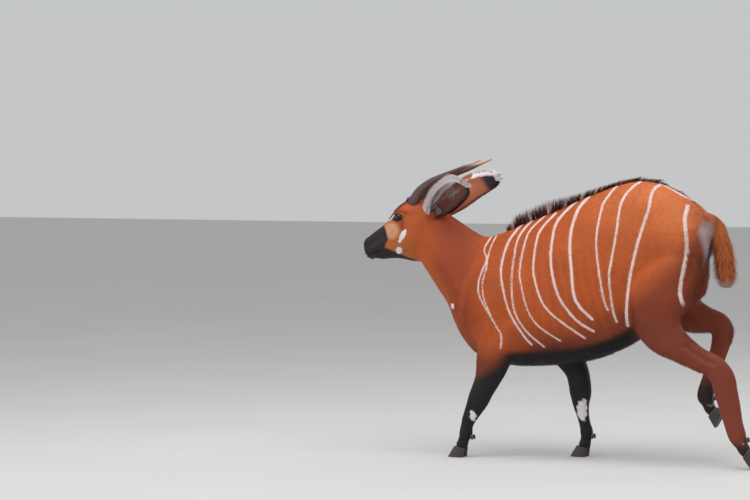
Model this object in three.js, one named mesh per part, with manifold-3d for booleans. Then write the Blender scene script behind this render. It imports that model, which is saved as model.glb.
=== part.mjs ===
// Life-size still model of a nearly grown bongo antelope, walking.
// Millimetres, +Z up. The animal faces -X and its left side faces -Y.
// The flesh is modelled whole from rings along each limb, then parted by thin cuts.

import * as THREE from 'three';
import { mergeVertices } from 'three/addons/utils/BufferGeometryUtils.js';
import Module from 'manifold-3d';

const wasm = await Module();
wasm.setup();

// Sizes shared by several parts
const GAP = 0.3;
const ROOT_GAP = 0.5;
const BODY_STEPS = 2;
const BODY_SIDES = 22;
const HEAD_STEPS = 2;
const HEAD_SIDES = 20;
const LEG_SIDES = 12;
const REGION_SIDES = 10;
const EYE_RADIUS = 19;
const EYE_CENTRE = [-972, 64, 1114];
const HORN_RADIUS = 25;
const EAR_LENGTH = 322;
const EAR_WIDTH = 66;
const EAR_WALL = 5;
const MANE_FROM = -455;
const MANE_TO = 430;
const TAIL_TIP_Z = 812;

// Colours read from the photograph
const COLOURS = {
  coat: [0xb4531f, 0.6],
  neck: [0xa04a26, 0.6],
  face: [0x8f4a28, 0.6],
  rump: [0xa84f2a, 0.6],
  black_leg: [0x2a1c1c, 0.65],
  brown_leg: [0x7a3320, 0.6],
  ear: [0xb9774f, 0.75],
  horn: [0x5d4440, 0.45],
  eye: [0x120c0a, 0.1],
  hoof: [0x1c1718, 0.5],
};

// Seeded random numbers
function seeded(seed) {
  let state = seed >>> 0;
  return () => {
    state = (state + 0x6d2b79f5) >>> 0;
    let t = state;
    t = Math.imul(t ^ (t >>> 15), t | 1);
    t ^= t + Math.imul(t ^ (t >>> 7), t | 61);
    return ((t ^ (t >>> 14)) >>> 0) / 4294967296;
  };
}

function mix(a, b, t) {
  return a + (b - a) * t;
}

function signedPower(value, power) {
  return Math.sign(value) * Math.abs(value) ** power;
}

// A smooth run through rows of numbers, with the same count of steps between rows
function smoothRows(rows, steps) {
  const out = [];
  for (let i = 0; i < rows.length - 1; i += 1) {
    const before = rows[Math.max(0, i - 1)];
    const here = rows[i];
    const next = rows[i + 1];
    const after = rows[Math.min(rows.length - 1, i + 2)];
    for (let k = 0; k < steps; k += 1) {
      const t = k / steps;
      out.push(here.map((p, j) => 0.5 * (2 * p + (next[j] - before[j]) * t
        + (2 * before[j] - 5 * p + 4 * next[j] - after[j]) * t * t
        + (3 * p - before[j] - 3 * next[j] + after[j]) * t * t * t)));
    }
  }
  out.push(rows[rows.length - 1]);
  return out;
}

// Closed body from rings of equal length. Each end is closed by a fan, or on a curved
// sheet by a strip from its outer row to its inner row.
function skinRings(rings, sheet = false) {
  const sides = rings[0].length;
  const points = [];
  const faces = [];
  for (const ring of rings) {
    for (const p of ring) points.push(p.x, p.y, p.z);
  }
  for (let i = 0; i < rings.length - 1; i += 1) {
    for (let k = 0; k < sides; k += 1) {
      const a = i * sides + k;
      const b = i * sides + (k + 1) % sides;
      const c = a + sides;
      const d = b + sides;
      faces.push(a, b, d, a, d, c);
    }
  }
  for (const end of [0, rings.length - 1]) {
    if (sheet) {
      for (let k = 0; k < sides / 2 - 1; k += 1) {
        const a = end * sides + k;
        const d = end * sides + sides - 1 - k;
        if (end === 0) faces.push(a, d, d - 1, a, d - 1, a + 1);
        else faces.push(a, d - 1, d, a, a + 1, d - 1);
      }
      continue;
    }
    const middle = new THREE.Vector3();
    for (const p of rings[end]) middle.add(p);
    middle.divideScalar(sides);
    const centre = points.length / 3;
    points.push(middle.x, middle.y, middle.z);
    for (let k = 0; k < sides; k += 1) {
      const a = end * sides + k;
      const b = end * sides + (k + 1) % sides;
      if (end === 0) faces.push(centre, b, a);
      else faces.push(centre, a, b);
    }
  }
  return facingOut(meshOf(points, faces));
}

function meshOf(points, faces) {
  const geometry = new THREE.BufferGeometry();
  geometry.setAttribute('position', new THREE.Float32BufferAttribute(points, 3));
  geometry.setIndex(faces);
  return geometry;
}

function volumeOf(geometry) {
  const p = geometry.getAttribute('position');
  const index = geometry.getIndex();
  const a = new THREE.Vector3();
  const b = new THREE.Vector3();
  const c = new THREE.Vector3();
  let total = 0;
  for (let i = 0; i < index.count; i += 3) {
    a.fromBufferAttribute(p, index.getX(i));
    b.fromBufferAttribute(p, index.getX(i + 1));
    c.fromBufferAttribute(p, index.getX(i + 2));
    total += a.dot(b.cross(c)) / 6;
  }
  return total;
}

function facingOut(geometry) {
  if (volumeOf(geometry) < 0) {
    const index = geometry.getIndex().array;
    for (let i = 0; i < index.length; i += 3) {
      const keep = index[i];
      index[i] = index[i + 1];
      index[i + 1] = keep;
    }
  }
  return geometry;
}

// Joining and cutting
function solid(geometry) {
  let g = geometry.clone();
  g.deleteAttribute('normal');
  g.deleteAttribute('uv');
  g = mergeVertices(g, 1e-3);
  return new wasm.Manifold(new wasm.Mesh({
    numProp: 3,
    vertProperties: new Float32Array(g.getAttribute('position').array),
    triVerts: new Uint32Array(g.getIndex().array),
  }));
}

function largest(body) {
  const pieces = body.decompose();
  pieces.sort((a, b) => b.volume() - a.volume());
  return pieces[0];
}

function join(list) {
  let whole = list[0];
  for (const next of list.slice(1)) whole = whole.add(next);
  return whole;
}

// Rounds points to a fine grid, then drops faces that close up or lie back to back
const GRIDS = [0.02, 0.01, 0.005, 0.002];

function weld(points, faces, grid) {
  const places = new Map();
  const kept = [];
  const index = [];
  for (let i = 0; i < points.length; i += 3) {
    const spot = [0, 1, 2].map((k) => Math.round(points[i + k] / grid));
    const key = spot.join(' ');
    if (!places.has(key)) {
      places.set(key, kept.length / 3);
      kept.push(...spot.map((value) => value * grid));
    }
    index.push(places.get(key));
  }
  const byCorners = new Map();
  for (let i = 0; i < faces.length; i += 3) {
    const face = [index[faces[i]], index[faces[i + 1]], index[faces[i + 2]]];
    if (new Set(face).size < 3) continue;
    const key = [...face].sort((a, b) => a - b).join(' ');
    if (byCorners.has(key)) byCorners.delete(key);
    else byCorners.set(key, face);
  }
  return { points: kept, faces: [...byCorners.values()].flat() };
}

// True where every edge is used once each way
function closed(faces) {
  const edges = new Set();
  for (let i = 0; i < faces.length; i += 3) {
    for (let k = 0; k < 3; k += 1) {
      const edge = `${faces[i + k]} ${faces[i + (k + 1) % 3]}`;
      if (edges.has(edge)) return false;
      edges.add(edge);
    }
  }
  for (const edge of edges) {
    if (!edges.has(edge.split(' ').reverse().join(' '))) return false;
  }
  return true;
}

function geometryOf(body, name) {
  const mesh = body.getMesh();
  const points = [];
  for (let i = 0; i < mesh.numVert; i += 1) {
    for (let k = 0; k < 3; k += 1) points.push(mesh.vertProperties[i * mesh.numProp + k]);
  }
  for (const grid of GRIDS) {
    const tidy = weld(points, Array.from(mesh.triVerts), grid);
    if (closed(tidy.faces)) return meshOf(tidy.points, tidy.faces);
  }
  throw new Error(`${name} doesn't close after its points are rounded`);
}

function mirrored(geometry) {
  const g = geometry.clone();
  g.scale(1, -1, 1);
  return facingOut(g);
}

// Head, neck and trunk rings: each row holds the top point, the bottom point, the half
// width, the height of the widest level as a share, and the two roundness powers
function trunkRing(row, sides, grow = 0) {
  const [topX, topZ, lowX, lowZ, half, level, topPower, lowPower] = row;
  const height = Math.hypot(topX - lowX, topZ - lowZ);
  const up = new THREE.Vector3((topX - lowX) / height, 0, (topZ - lowZ) / height);
  const middle = new THREE.Vector3(lowX, 0, lowZ).addScaledVector(up, height * level);
  const ring = [];
  for (let k = 0; k < sides; k += 1) {
    const angle = (k / sides) * Math.PI * 2;
    const c = Math.cos(angle);
    const s = Math.sin(angle);
    const power = 2 / (c > 0 ? topPower : lowPower);
    const reach = height * (c > 0 ? 1 - level : level) + grow;
    const p = middle.clone().addScaledVector(up, reach * signedPower(c, power));
    p.y = (half + grow) * signedPower(s, power);
    ring.push(p);
  }
  return ring;
}

// Swells and hollows: each has a centre, three reaches and a push, and moves the surface
// sideways and away from a middle line
function swellRings(rings, swells) {
  for (const ring of rings) {
    const centre = new THREE.Vector3();
    for (const p of ring) centre.add(p);
    centre.divideScalar(ring.length);
    for (const p of ring) {
      let push = 0;
      for (const [x, y, z, rx, ry, rz, amount] of swells) {
        const d = ((p.x - x) / rx) ** 2 + ((Math.abs(p.y) - y) / ry) ** 2
          + ((p.z - z) / rz) ** 2;
        if (d < 1) push += amount * (1 - d) ** 2;
      }
      if (push) {
        const away = p.clone().sub(centre).normalize();
        p.addScaledVector(away, push);
      }
    }
  }
}

// A limb along joints: each row holds the centre, the half depth and the half width
function limbRings(rows, sides, steps, squareness = 2) {
  const path = smoothRows(rows, steps);
  const rings = [];
  for (let i = 0; i < path.length; i += 1) {
    const here = path[i];
    const a = path[Math.max(0, i - 1)];
    const b = path[Math.min(path.length - 1, i + 1)];
    const along = new THREE.Vector3(b[0] - a[0], b[1] - a[1], b[2] - a[2]).normalize();
    const side = new THREE.Vector3(0, 1, 0);
    side.addScaledVector(along, -along.y).normalize();
    const front = new THREE.Vector3().crossVectors(side, along).normalize();
    const ring = [];
    for (let k = 0; k < sides; k += 1) {
      const angle = (k / sides) * Math.PI * 2;
      const power = 2 / squareness;
      const p = new THREE.Vector3(here[0], here[1], here[2]);
      p.addScaledVector(front, here[3] * signedPower(Math.cos(angle), power));
      p.addScaledVector(side, here[4] * signedPower(Math.sin(angle), power));
      ring.push(p);
    }
    rings.push(ring);
  }
  return rings;
}

// Neck and trunk, from inside the head to the rump
const BODY_ROWS = [
  [-893, 1166, -905, 985, 52, 0.5, 2.0, 2.0],
  [-842, 1178, -882, 905, 70, 0.5, 2.0, 2.0],
  [-764, 1142, -845, 846, 80, 0.5, 2.0, 2.0],
  [-682, 1092, -792, 770, 92, 0.5, 2.0, 2.0],
  [-618, 1052, -742, 700, 110, 0.48, 1.9, 2.0],
  [-558, 1028, -703, 610, 126, 0.48, 1.8, 2.0],
  [-494, 1040, -660, 536, 143, 0.47, 1.75, 2.0],
  [-424, 1066, -600, 474, 154, 0.46, 1.75, 2.0],
  [-360, 1094, -520, 438, 161, 0.45, 1.75, 2.0],
  [-270, 1128, -400, 424, 170, 0.44, 1.8, 2.1],
  [-180, 1165, -285, 427, 180, 0.43, 1.85, 2.1],
  [-90, 1205, -175, 438, 188, 0.42, 1.9, 2.1],
  [0, 1241, -65, 455, 191, 0.42, 1.95, 2.1],
  [90, 1273, 40, 486, 188, 0.44, 2.0, 2.1],
  [177, 1293, 140, 530, 180, 0.47, 2.0, 2.1],
  [273, 1289, 238, 592, 171, 0.52, 2.0, 2.1],
  [368, 1250, 335, 682, 163, 0.56, 2.0, 2.1],
  [452, 1198, 425, 790, 152, 0.58, 2.0, 2.1],
  [508, 1140, 488, 890, 118, 0.56, 2.0, 2.0],
  [534, 1085, 524, 965, 62, 0.5, 2.0, 2.0],
];
const BODY_SWELLS = [
  [-540, 150, 720, 170, 200, 220, 10],
  [-400, 170, 800, 170, 200, 300, 8],
  [-270, 200, 900, 150, 200, 260, -8],
  [60, 200, 1030, 170, 200, 200, -10],
  [190, 170, 1180, 130, 160, 120, 9],
  [200, 190, 760, 130, 200, 170, -9],
];

function bodyGeometry(grow = 0) {
  const rings = smoothRows(BODY_ROWS, BODY_STEPS)
    .map((row) => trunkRing(row, BODY_SIDES, grow));
  swellRings(rings, BODY_SWELLS);
  return skinRings(rings);
}

// Head, from inside the neck to the nose
const HEAD_ROWS = [
  [-835, 1172, -800, 985, 55, 0.55, 2.0, 2.0],
  [-868, 1192, -840, 925, 72, 0.58, 2.1, 2.0],
  [-905, 1200, -880, 902, 78, 0.6, 2.2, 2.0],
  [-952, 1192, -922, 901, 78, 0.62, 2.3, 1.9],
  [-990, 1168, -958, 908, 75, 0.62, 2.3, 1.8],
  [-1018, 1138, -992, 913, 68, 0.6, 2.3, 1.8],
  [-1042, 1108, -1022, 914, 59, 0.58, 2.3, 1.9],
  [-1066, 1079, -1050, 911, 52, 0.56, 2.3, 2.0],
  [-1098, 1056, -1084, 907, 48, 0.54, 2.3, 2.1],
  [-1128, 1034, -1114, 905, 47, 0.54, 2.4, 2.2],
  [-1152, 1014, -1138, 908, 45, 0.54, 2.4, 2.2],
  [-1166, 998, -1155, 918, 36, 0.54, 2.3, 2.2],
  [-1172, 983, -1166, 940, 18, 0.5, 2.0, 2.0],
];
const HEAD_SWELLS = [
  [-968, 70, 1150, 46, 60, 34, 13],
  [-925, 78, 985, 62, 60, 80, 9],
  [-1030, 62, 1010, 60, 50, 60, -5],
  [-1148, 34, 1002, 26, 30, 26, 7],
  [-1138, 40, 945, 34, 34, 22, 5],
];

function headGeometry(grow = 0) {
  const rings = smoothRows(HEAD_ROWS, HEAD_STEPS)
    .map((row) => trunkRing(row, HEAD_SIDES, grow));
  swellRings(rings, HEAD_SWELLS);
  return skinRings(rings);
}

// A bead or bump: a ball stretched along three directions and turned about Y and Z
function bead(centre, reach, turnY = 0, turnZ = 0, across = 11, up = 7) {
  const g = new THREE.SphereGeometry(1, across, up);
  g.scale(reach[0], reach[1], reach[2]);
  g.rotateY(turnY);
  g.rotateZ(turnZ);
  g.translate(centre[0], centre[1], centre[2]);
  return facingOut(indexed(g));
}

function indexed(geometry) {
  const g = geometry.clone();
  g.deleteAttribute('normal');
  g.deleteAttribute('uv');
  return mergeVertices(g, 1e-3);
}

// A round bar bent through points, thin at both ends
function bentBar(points, radii, sides = 6, steps = 3) {
  const rows = points.map((p, i) => [p[0], p[1], p[2], radii[i], radii[i]]);
  return skinRings(limbRings(rows, sides, steps));
}

// Lids: two bent bars over and under the eye
function lidGeometry(side, above) {
  const [x, y, z] = EYE_CENTRE;
  const rise = above ? 12 : -11;
  const reach = 24;
  const out = 11.5;
  const points = [];
  const radii = [];
  const count = 5;
  for (let i = 0; i < count; i += 1) {
    const t = (i / (count - 1)) * 2 - 1;
    const bow = 1 - t * t;
    points.push([x + t * reach, side * (y + out * Math.sqrt(bow) - 2 * Math.abs(t)),
      z + rise * bow - t * 5]);
    radii.push(i === 0 || i === count - 1 ? 2.2 : above ? 5.5 : 4.5);
  }
  return bentBar(points, radii, 5, 2);
}

// A lock: a flat tapered blade from its root along a bent path. It is wide across the
// plane it bends in, or within that plane where its width is the smaller number.
const LOCK_STEPS = 3;
const LOCK_TIP = 0.12;

function lockGeometry(root, lie, bend, length, width, thick, steps = LOCK_STEPS) {
  const forward = lie.clone().normalize();
  const flat = new THREE.Vector3().crossVectors(forward, bend).normalize();
  const lift = new THREE.Vector3().crossVectors(flat, forward).normalize();
  const rings = [];
  for (let i = 0; i <= steps; i += 1) {
    const t = i / steps;
    const taper = i === steps ? LOCK_TIP : 1 - 0.6 * t * t;
    const p = root.clone().addScaledVector(forward, length * t * (1 - 0.12 * t));
    p.addScaledVector(bend, length * 0.3 * t * t);
    rings.push([[1, 0], [0, 1], [-1, 0], [0, -1]].map(([u, v]) => p.clone()
      .addScaledVector(flat, u * width * 0.5 * taper)
      .addScaledVector(lift, v * thick * 0.5 * taper)));
  }
  return skinRings(rings);
}

// The back at a place along the trunk: its height and its slope
function backLine(x) {
  for (let i = 0; i < BODY_ROWS.length - 1; i += 1) {
    const [x0, z0] = BODY_ROWS[i];
    const [x1, z1] = BODY_ROWS[i + 1];
    if (x >= x0 && x <= x1) {
      return { z: mix(z0, z1, (x - x0) / (x1 - x0)), slope: (z1 - z0) / (x1 - x0) };
    }
  }
  return { z: BODY_ROWS[BODY_ROWS.length - 1][1], slope: 0 };
}

// Mane height along the back: tall over the withers, then a low crest to the rump
function maneHeight(x) {
  if (x < -400) return mix(24, 56, (x - MANE_FROM) / 55);
  if (x < -250) return mix(56, 62, (x + 400) / 150);
  if (x < -100) return mix(62, 28, (x + 250) / 150);
  return mix(28, 9, (x + 100) / (MANE_TO + 100));
}

// Horns: a gently bent taper laid back in line with the face
const HORN_LINE = [
  [-918, 30, 1150], [-905, 36, 1190], [-873, 42, 1236], [-821, 48, 1277],
  [-745, 55, 1311], [-655, 63, 1345], [-556, 72, 1386],
];
const HORN_SHARES = [1.02, 1.0, 0.86, 0.68, 0.52, 0.36, 0.08];

function hornGeometry() {
  const rows = HORN_LINE.map((p, i) => [p[0], p[1], p[2], HORN_RADIUS * HORN_SHARES[i],
    HORN_RADIUS * HORN_SHARES[i]]);
  const rings = limbRings(rows, 10, 2);
  const last = rings.length - 1;
  rings.forEach((ring, i) => {
    const centre = new THREE.Vector3();
    for (const p of ring) centre.add(p);
    centre.divideScalar(ring.length);
    const twist = (i / last) * 1.9;
    ring.forEach((p, k) => {
      const keel = 1 + 0.13 * Math.cos(2 * ((k / ring.length) * Math.PI * 2 - twist));
      p.sub(centre).multiplyScalar(keel).add(centre);
    });
  });
  return skinRings(rings);
}

// Ears: a cupped shell with a thick root, open outwards and back
const EAR_ROOT = [-812, 62, 1126];
const EAR_LINES = {
  left: new THREE.Vector3(0.73, 0.52, 0.44).normalize(),
  right: new THREE.Vector3(0.76, 0.42, 0.53).normalize(),
};
const EAR_OPEN = new THREE.Vector3(0.1, 0.9, -0.42);

function earFrame(line) {
  const along = line.clone();
  const open = EAR_OPEN.clone().addScaledVector(along, -EAR_OPEN.dot(along)).normalize();
  const across = new THREE.Vector3().crossVectors(along, open).normalize();
  return { along, open, across };
}

// Half width and half angle of the cup along the ear
function earWidth(u) {
  const rise = Math.min(1, u / 0.42);
  const fall = Math.max(0, (u - 0.42) / 0.58);
  const wide = 0.4 + 0.6 * Math.sin(rise * Math.PI * 0.5);
  return EAR_WIDTH * wide * Math.sqrt(Math.max(0.02, 1 - fall ** 2.6));
}

function earAngle(u) {
  return mix(1.95, 0.85, Math.min(1, u * 1.7));
}

function earPoint(line, u, v, depth) {
  const { along, open, across } = earFrame(line);
  const angle = earAngle(u);
  const radius = earWidth(u) / Math.sin(Math.min(angle, Math.PI / 2));
  const turn = v * angle;
  const root = new THREE.Vector3(EAR_ROOT[0], EAR_ROOT[1], EAR_ROOT[2]);
  const p = root.addScaledVector(along, EAR_LENGTH * u);
  p.addScaledVector(open, -18 * Math.sin(u * Math.PI) + 14 * u * u);
  p.addScaledVector(across, Math.sin(turn) * (radius + depth));
  p.addScaledVector(open, radius * Math.cos(Math.min(angle, Math.PI / 2)) * 0.6
    - Math.cos(turn) * (radius + depth));
  return p;
}

function earGeometry(line) {
  const rings = [];
  const lengthSteps = 8;
  const acrossSteps = 6;
  for (let i = 0; i <= lengthSteps; i += 1) {
    const u = i / lengthSteps;
    const wall = mix(EAR_WALL, 2.4, u);
    const ring = [];
    for (let k = 0; k <= acrossSteps; k += 1) {
      ring.push(earPoint(line, u, (k / acrossSteps) * 2 - 1, wall * 0.5));
    }
    for (let k = acrossSteps; k >= 0; k -= 1) {
      ring.push(earPoint(line, u, (k / acrossSteps) * 2 - 1, -wall * 0.5));
    }
    rings.push(ring);
  }
  return skinRings(rings, true);
}

// Legs: rows of centre, half depth and half width from the trunk down to the hoof head
const FORE_NEAR = [
  [-520, -72, 760, 84, 52],
  [-492, -92, 640, 104, 62],
  [-466, -104, 530, 98, 62],
  [-482, -116, 440, 82, 54],
  [-505, -119, 368, 64, 45],
  [-530, -120, 315, 56, 41],
  [-550, -120, 270, 53, 41],
  [-573, -120, 224, 44, 33],
  [-596, -120, 180, 36, 28],
  [-608, -120, 143, 31, 27],
  [-612, -120, 112, 34, 31],
  [-622, -120, 82, 27, 27],
  [-632, -120, 54, 30, 32],
  [-636, -120, 42, 25, 26],
];
const FORE_FAR = [
  [-420, 74, 740, 84, 52],
  [-352, 94, 640, 100, 62],
  [-262, 106, 545, 90, 58],
  [-190, 112, 468, 72, 50],
  [-148, 114, 400, 59, 45],
  [-134, 114, 345, 56, 41],
  [-128, 114, 296, 54, 41],
  [-126, 114, 245, 42, 33],
  [-117, 114, 195, 32, 28],
  [-106, 114, 150, 29, 27],
  [-98, 114, 115, 33, 31],
  [-101, 114, 82, 27, 27],
  [-108, 114, 54, 30, 32],
  [-110, 114, 42, 25, 26],
];
const HIND_NEAR = [
  [372, -80, 1010, 112, 56],
  [358, -100, 900, 138, 74],
  [322, -116, 780, 148, 80],
  [312, -126, 684, 132, 72],
  [348, -132, 604, 100, 62],
  [422, -132, 544, 70, 50],
  [508, -130, 494, 56, 40],
  [580, -128, 462, 55, 36],
  [620, -126, 412, 59, 37],
  [636, -124, 350, 57, 35],
  [654, -121, 280, 52, 33],
  [671, -118, 205, 46, 32],
  [690, -115, 145, 43, 34],
  [706, -113, 112, 31, 29],
  [722, -112, 86, 30, 32],
  [730, -112, 72, 25, 26],
];
const HIND_FAR = [
  [372, 80, 1010, 112, 56],
  [362, 100, 900, 132, 74],
  [342, 116, 790, 132, 80],
  [356, 126, 712, 108, 72],
  [410, 128, 672, 84, 58],
  [474, 127, 656, 62, 44],
  [530, 126, 640, 52, 36],
  [550, 126, 600, 54, 35],
  [538, 124, 528, 45, 33],
  [514, 122, 452, 41, 32],
  [492, 120, 380, 39, 31],
  [472, 118, 306, 41, 33],
  [484, 117, 274, 31, 29],
  [496, 116, 248, 30, 32],
  [503, 116, 234, 25, 26],
];

// The part of the flesh that belongs to each leg: a dome over its root, then the limb with
// room all round it
const ROOM = { depth: 24, out: 20, wide: 34 };
const DOMES = {
  foreleg_left: { from: 2, rows: [[-512, -226, 745, 40, 34], [-500, -186, 680, 112, 72]] },
  foreleg_right: { from: 2, rows: [[-382, 232, 742, 40, 34], [-352, 190, 672, 112, 72]] },
  hindleg_left: { from: 2, rows: [[362, -222, 990, 44, 34], [366, -190, 912, 158, 84]] },
  hindleg_right: { from: 2, rows: [[362, 222, 990, 44, 34], [366, 190, 912, 158, 84]] },
};

function legRegion(name, grow = 0) {
  const dome = DOMES[name];
  const rows = FEET[name].rows.slice(dome.from).map(([x, y, z, depth, wide]) => [
    x, y + Math.sign(y) * ROOM.out, z, depth + ROOM.depth, wide + ROOM.wide,
  ]);
  const all = [...dome.rows, ...rows].map(([x, y, z, depth, wide]) => [
    x, y, z, depth + grow, wide + grow,
  ]);
  const last = all[all.length - 1];
  const before = all[all.length - 2];
  all.push(last.map((value, k) => (k < 3 ? value + (value - before[k]) * 1.2 : value)));
  return skinRings(limbRings(all, REGION_SIDES, 2, 2.15));
}

function legGeometry(rows, grow = 0) {
  const grown = rows.map(([x, y, z, depth, wide]) => [x, y, z, depth + grow, wide + grow]);
  const last = grown.length - 1;
  const along = new THREE.Vector3(...rows[last]).sub(new THREE.Vector3(...rows[last - 1]));
  along.normalize().multiplyScalar(grow);
  grown[last][0] += along.x;
  grown[last][1] += along.y;
  grown[last][2] += along.z;
  return skinRings(limbRings(grown, LEG_SIDES, 2, 2.15));
}

// Hooves: two claws, each a wedge with a flat sole, then tipped up at the heel
const CLAW_LENGTH = 84;
const CLAW_HEIGHT = 54;
const CLAW_HALF = 17;

function clawGeometry(outer) {
  const rings = [];
  const levels = 3;
  const sides = 10;
  for (let i = 0; i <= levels; i += 1) {
    const t = i / levels;
    const ring = [];
    for (let k = 0; k < sides; k += 1) {
      const angle = (k / sides) * Math.PI * 2;
      const c = Math.cos(angle);
      const s = Math.sin(angle);
      const front = c < 0 ? 1 - 0.45 * c * c : 1;
      const half = mix(CLAW_HALF, CLAW_HALF * 0.86, t) * front;
      const reach = mix(CLAW_LENGTH, CLAW_LENGTH * 0.66, t) * 0.5;
      const slope = mix(0, 20, t);
      const inner = s * outer < 0 ? 0.78 : 1;
      ring.push(new THREE.Vector3(c * reach + slope, s * half * inner,
        t * CLAW_HEIGHT - (t === 1 ? 5 * (c + 1) : 0)));
    }
    rings.push(ring);
  }
  return skinRings(rings);
}

// Each foot: the middle of its sole, and how far the heel is tipped up
const FEET = {
  foreleg_left: { at: [-656, -120, 0], tip: 0, heel: [-578, 96], rows: FORE_NEAR },
  foreleg_right: { at: [-134, 114, 0], tip: 0, heel: [-66, 98], rows: FORE_FAR },
  hindleg_left: { at: [770, -112, 39], tip: -1.2, heel: [734, 134], rows: HIND_NEAR },
  hindleg_right: { at: [542, 116, 192], tip: -1.1, heel: [515, 296], rows: HIND_FAR },
};
const CLAW_SPREAD = 18.5;

// The two small claws behind each fetlock
function dewclaw(foot, side) {
  const y = foot.at[1] + side * 15;
  return bead([foot.heel[0], y, foot.heel[1]], [9, 8, 15], -0.35, 0, 7, 4);
}

function footClaw(foot, side) {
  const g = clawGeometry(side);
  g.rotateZ(side * 0.09);
  g.rotateY(foot.tip);
  g.translate(foot.at[0], foot.at[1] + side * CLAW_SPREAD, foot.at[2]);
  const p = g.getAttribute('position');
  for (let i = 0; i < p.count; i += 1) {
    if (p.getZ(i) < 0) p.setZ(i, 0);
  }
  return facingOut(g);
}

// Tail: hangs close behind the rump and ends in a tuft
const TAIL_ROWS = [
  [462, 0, 1120, 30, 26],
  [510, 0, 1120, 38, 28],
  [550, 0, 1090, 38, 28],
  [574, 0, 1046, 36, 27],
  [588, 0, 1000, 34, 26],
  [596, 0, 950, 31, 24],
  [602, 0, 900, 26, 20],
  [602, 0, 858, 17, 13],
  [600, 0, 828, 7, 6],
];

function cutSlab(centre, size, turnY = 0, turnZ = 0) {
  const g = new THREE.BoxGeometry(size[0], size[1], size[2]);
  g.rotateY(turnY);
  g.rotateZ(turnZ);
  g.translate(centre[0], centre[1], centre[2]);
  return solid(indexed(g));
}

// Mouth: a thin sheet along the lips, cut only a little way into the muzzle
const MOUTH_LINE = [
  [-1190, 928], [-1160, 927], [-1130, 932], [-1100, 942], [-1074, 954],
];
const MOUTH_DEPTH = 6;

function mouthGroove() {
  const wide = 90;
  const thick = 1.3;
  const rings = MOUTH_LINE.map(([x, z]) => [
    new THREE.Vector3(x, wide, z + thick), new THREE.Vector3(x, -wide, z + thick),
    new THREE.Vector3(x, -wide, z - thick), new THREE.Vector3(x, wide, z - thick),
  ]);
  return solid(skinRings(rings)).subtract(solid(headGeometry(-MOUTH_DEPTH)));
}

// Mane: overlapping locks on the middle line of the back. They stand up over the
// withers and lean towards the tail more and more behind them.
const MANE_STEP = 28;
const MANE_ROOT = 14;

function addMane(trunk) {
  const random = seeded(7);
  let body = trunk;
  let side = 1;
  for (let x = MANE_FROM; x <= MANE_TO; x += MANE_STEP) {
    const { z, slope } = backLine(x);
    const along = new THREE.Vector3(1, 0, slope).normalize();
    const up = new THREE.Vector3(-along.z, 0, along.x);
    const rise = maneHeight(x) * mix(0.92, 1.08, random());
    const lean = x < -250 ? 0.4 : mix(0.5, 1.9, (x + 250) / (MANE_TO + 250));
    const root = new THREE.Vector3(x + mix(-4, 4, random()), side * mix(1, 4, random()), z)
      .addScaledVector(up, -MANE_ROOT);
    const lie = up.clone().addScaledVector(along, lean);
    lie.y = side * mix(0.02, 0.12, random());
    const length = (rise + MANE_ROOT) * Math.hypot(1, lean) * 1.05;
    body = body.add(solid(lockGeometry(root, lie, along, length, 12, 30 + rise * 0.3,
      rise > 30 ? LOCK_STEPS : 2)));
    side = -side;
  }
  return largest(body);
}

// Fringe of an ear: wide locks that lie along both rims and over the tip, and a row
// inside the front rim. The front rim has the longest.
const FRINGE_ROWS = [
  { edge: 0.94, from: 0.08, to: 0.95, count: 8, length: 58, width: 34, out: 0.4, rise: 0 },
  { edge: 0.62, from: 0.12, to: 0.6, count: 3, length: 56, width: 34, out: 0.15, rise: 0.25 },
  { edge: -0.94, from: 0.34, to: 0.93, count: 4, length: 36, width: 30, out: 0.14, rise: 0 },
];
const FRINGE_THICK = 5;

// Unit vectors on the cup: across its wall towards the rim, and towards the inside
function earSurface(line, u, v) {
  const { open, across } = earFrame(line);
  const turn = v * earAngle(u);
  const rim = across.clone().multiplyScalar(Math.cos(turn)).addScaledVector(open, Math.sin(turn));
  const inside = across.clone().multiplyScalar(-Math.sin(turn))
    .addScaledVector(open, Math.cos(turn));
  return { rim: rim.multiplyScalar(Math.sign(v)), inside };
}

function addFringe(shell, sided, line) {
  const random = seeded(11);
  let body = shell;
  for (const row of FRINGE_ROWS) {
    for (let i = 0; i < row.count; i += 1) {
      const u = mix(row.from, row.to, i / (row.count - 1));
      const { rim, inside } = earSurface(line, u, row.edge);
      const root = earPoint(line, u, row.edge, 0);
      const lie = earPoint(line, u + 0.05, row.edge, 0).sub(root).normalize();
      lie.addScaledVector(rim, row.out * mix(0.8, 1.2, random()));
      lie.addScaledVector(inside, row.rise);
      const length = row.length * mix(0.88, 1.12, random());
      body = body.add(sided(
        lockGeometry(root, lie, inside, length, row.width, FRINGE_THICK, 2)));
    }
  }
  return largest(body);
}

// Tail tuft: wide locks round the lower tail that spread fore and aft and close again
const TUFT_TIERS = 4;
const TUFT_AROUND = 4;

function addTuft(core) {
  const random = seeded(23);
  const path = smoothRows(TAIL_ROWS, 4);
  let body = core;
  for (let tier = 0; tier < TUFT_TIERS; tier += 1) {
    const place = path[Math.round(mix(10, path.length - 7, tier / (TUFT_TIERS - 1)))];
    for (let k = 0; k < TUFT_AROUND; k += 1) {
      const angle = ((k + 0.5 * (tier % 2)) / TUFT_AROUND) * Math.PI * 2 + random() * 0.3;
      const out = new THREE.Vector3(Math.cos(angle), Math.sin(angle) * 0.6, 0);
      const root = new THREE.Vector3(place[0], place[1], place[2])
        .addScaledVector(out, place[4] * 0.45);
      const lie = new THREE.Vector3(0.02, 0, -1).addScaledVector(out, mix(0.4, 0.5, random()));
      const reach = Math.min(mix(96, 122, random()), place[2] - TAIL_TIP_Z);
      const bend = out.clone().multiplyScalar(-0.8);
      body = body.add(solid(lockGeometry(root, lie, bend, reach, 42, 14, 2)));
    }
  }
  return largest(body);
}

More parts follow.
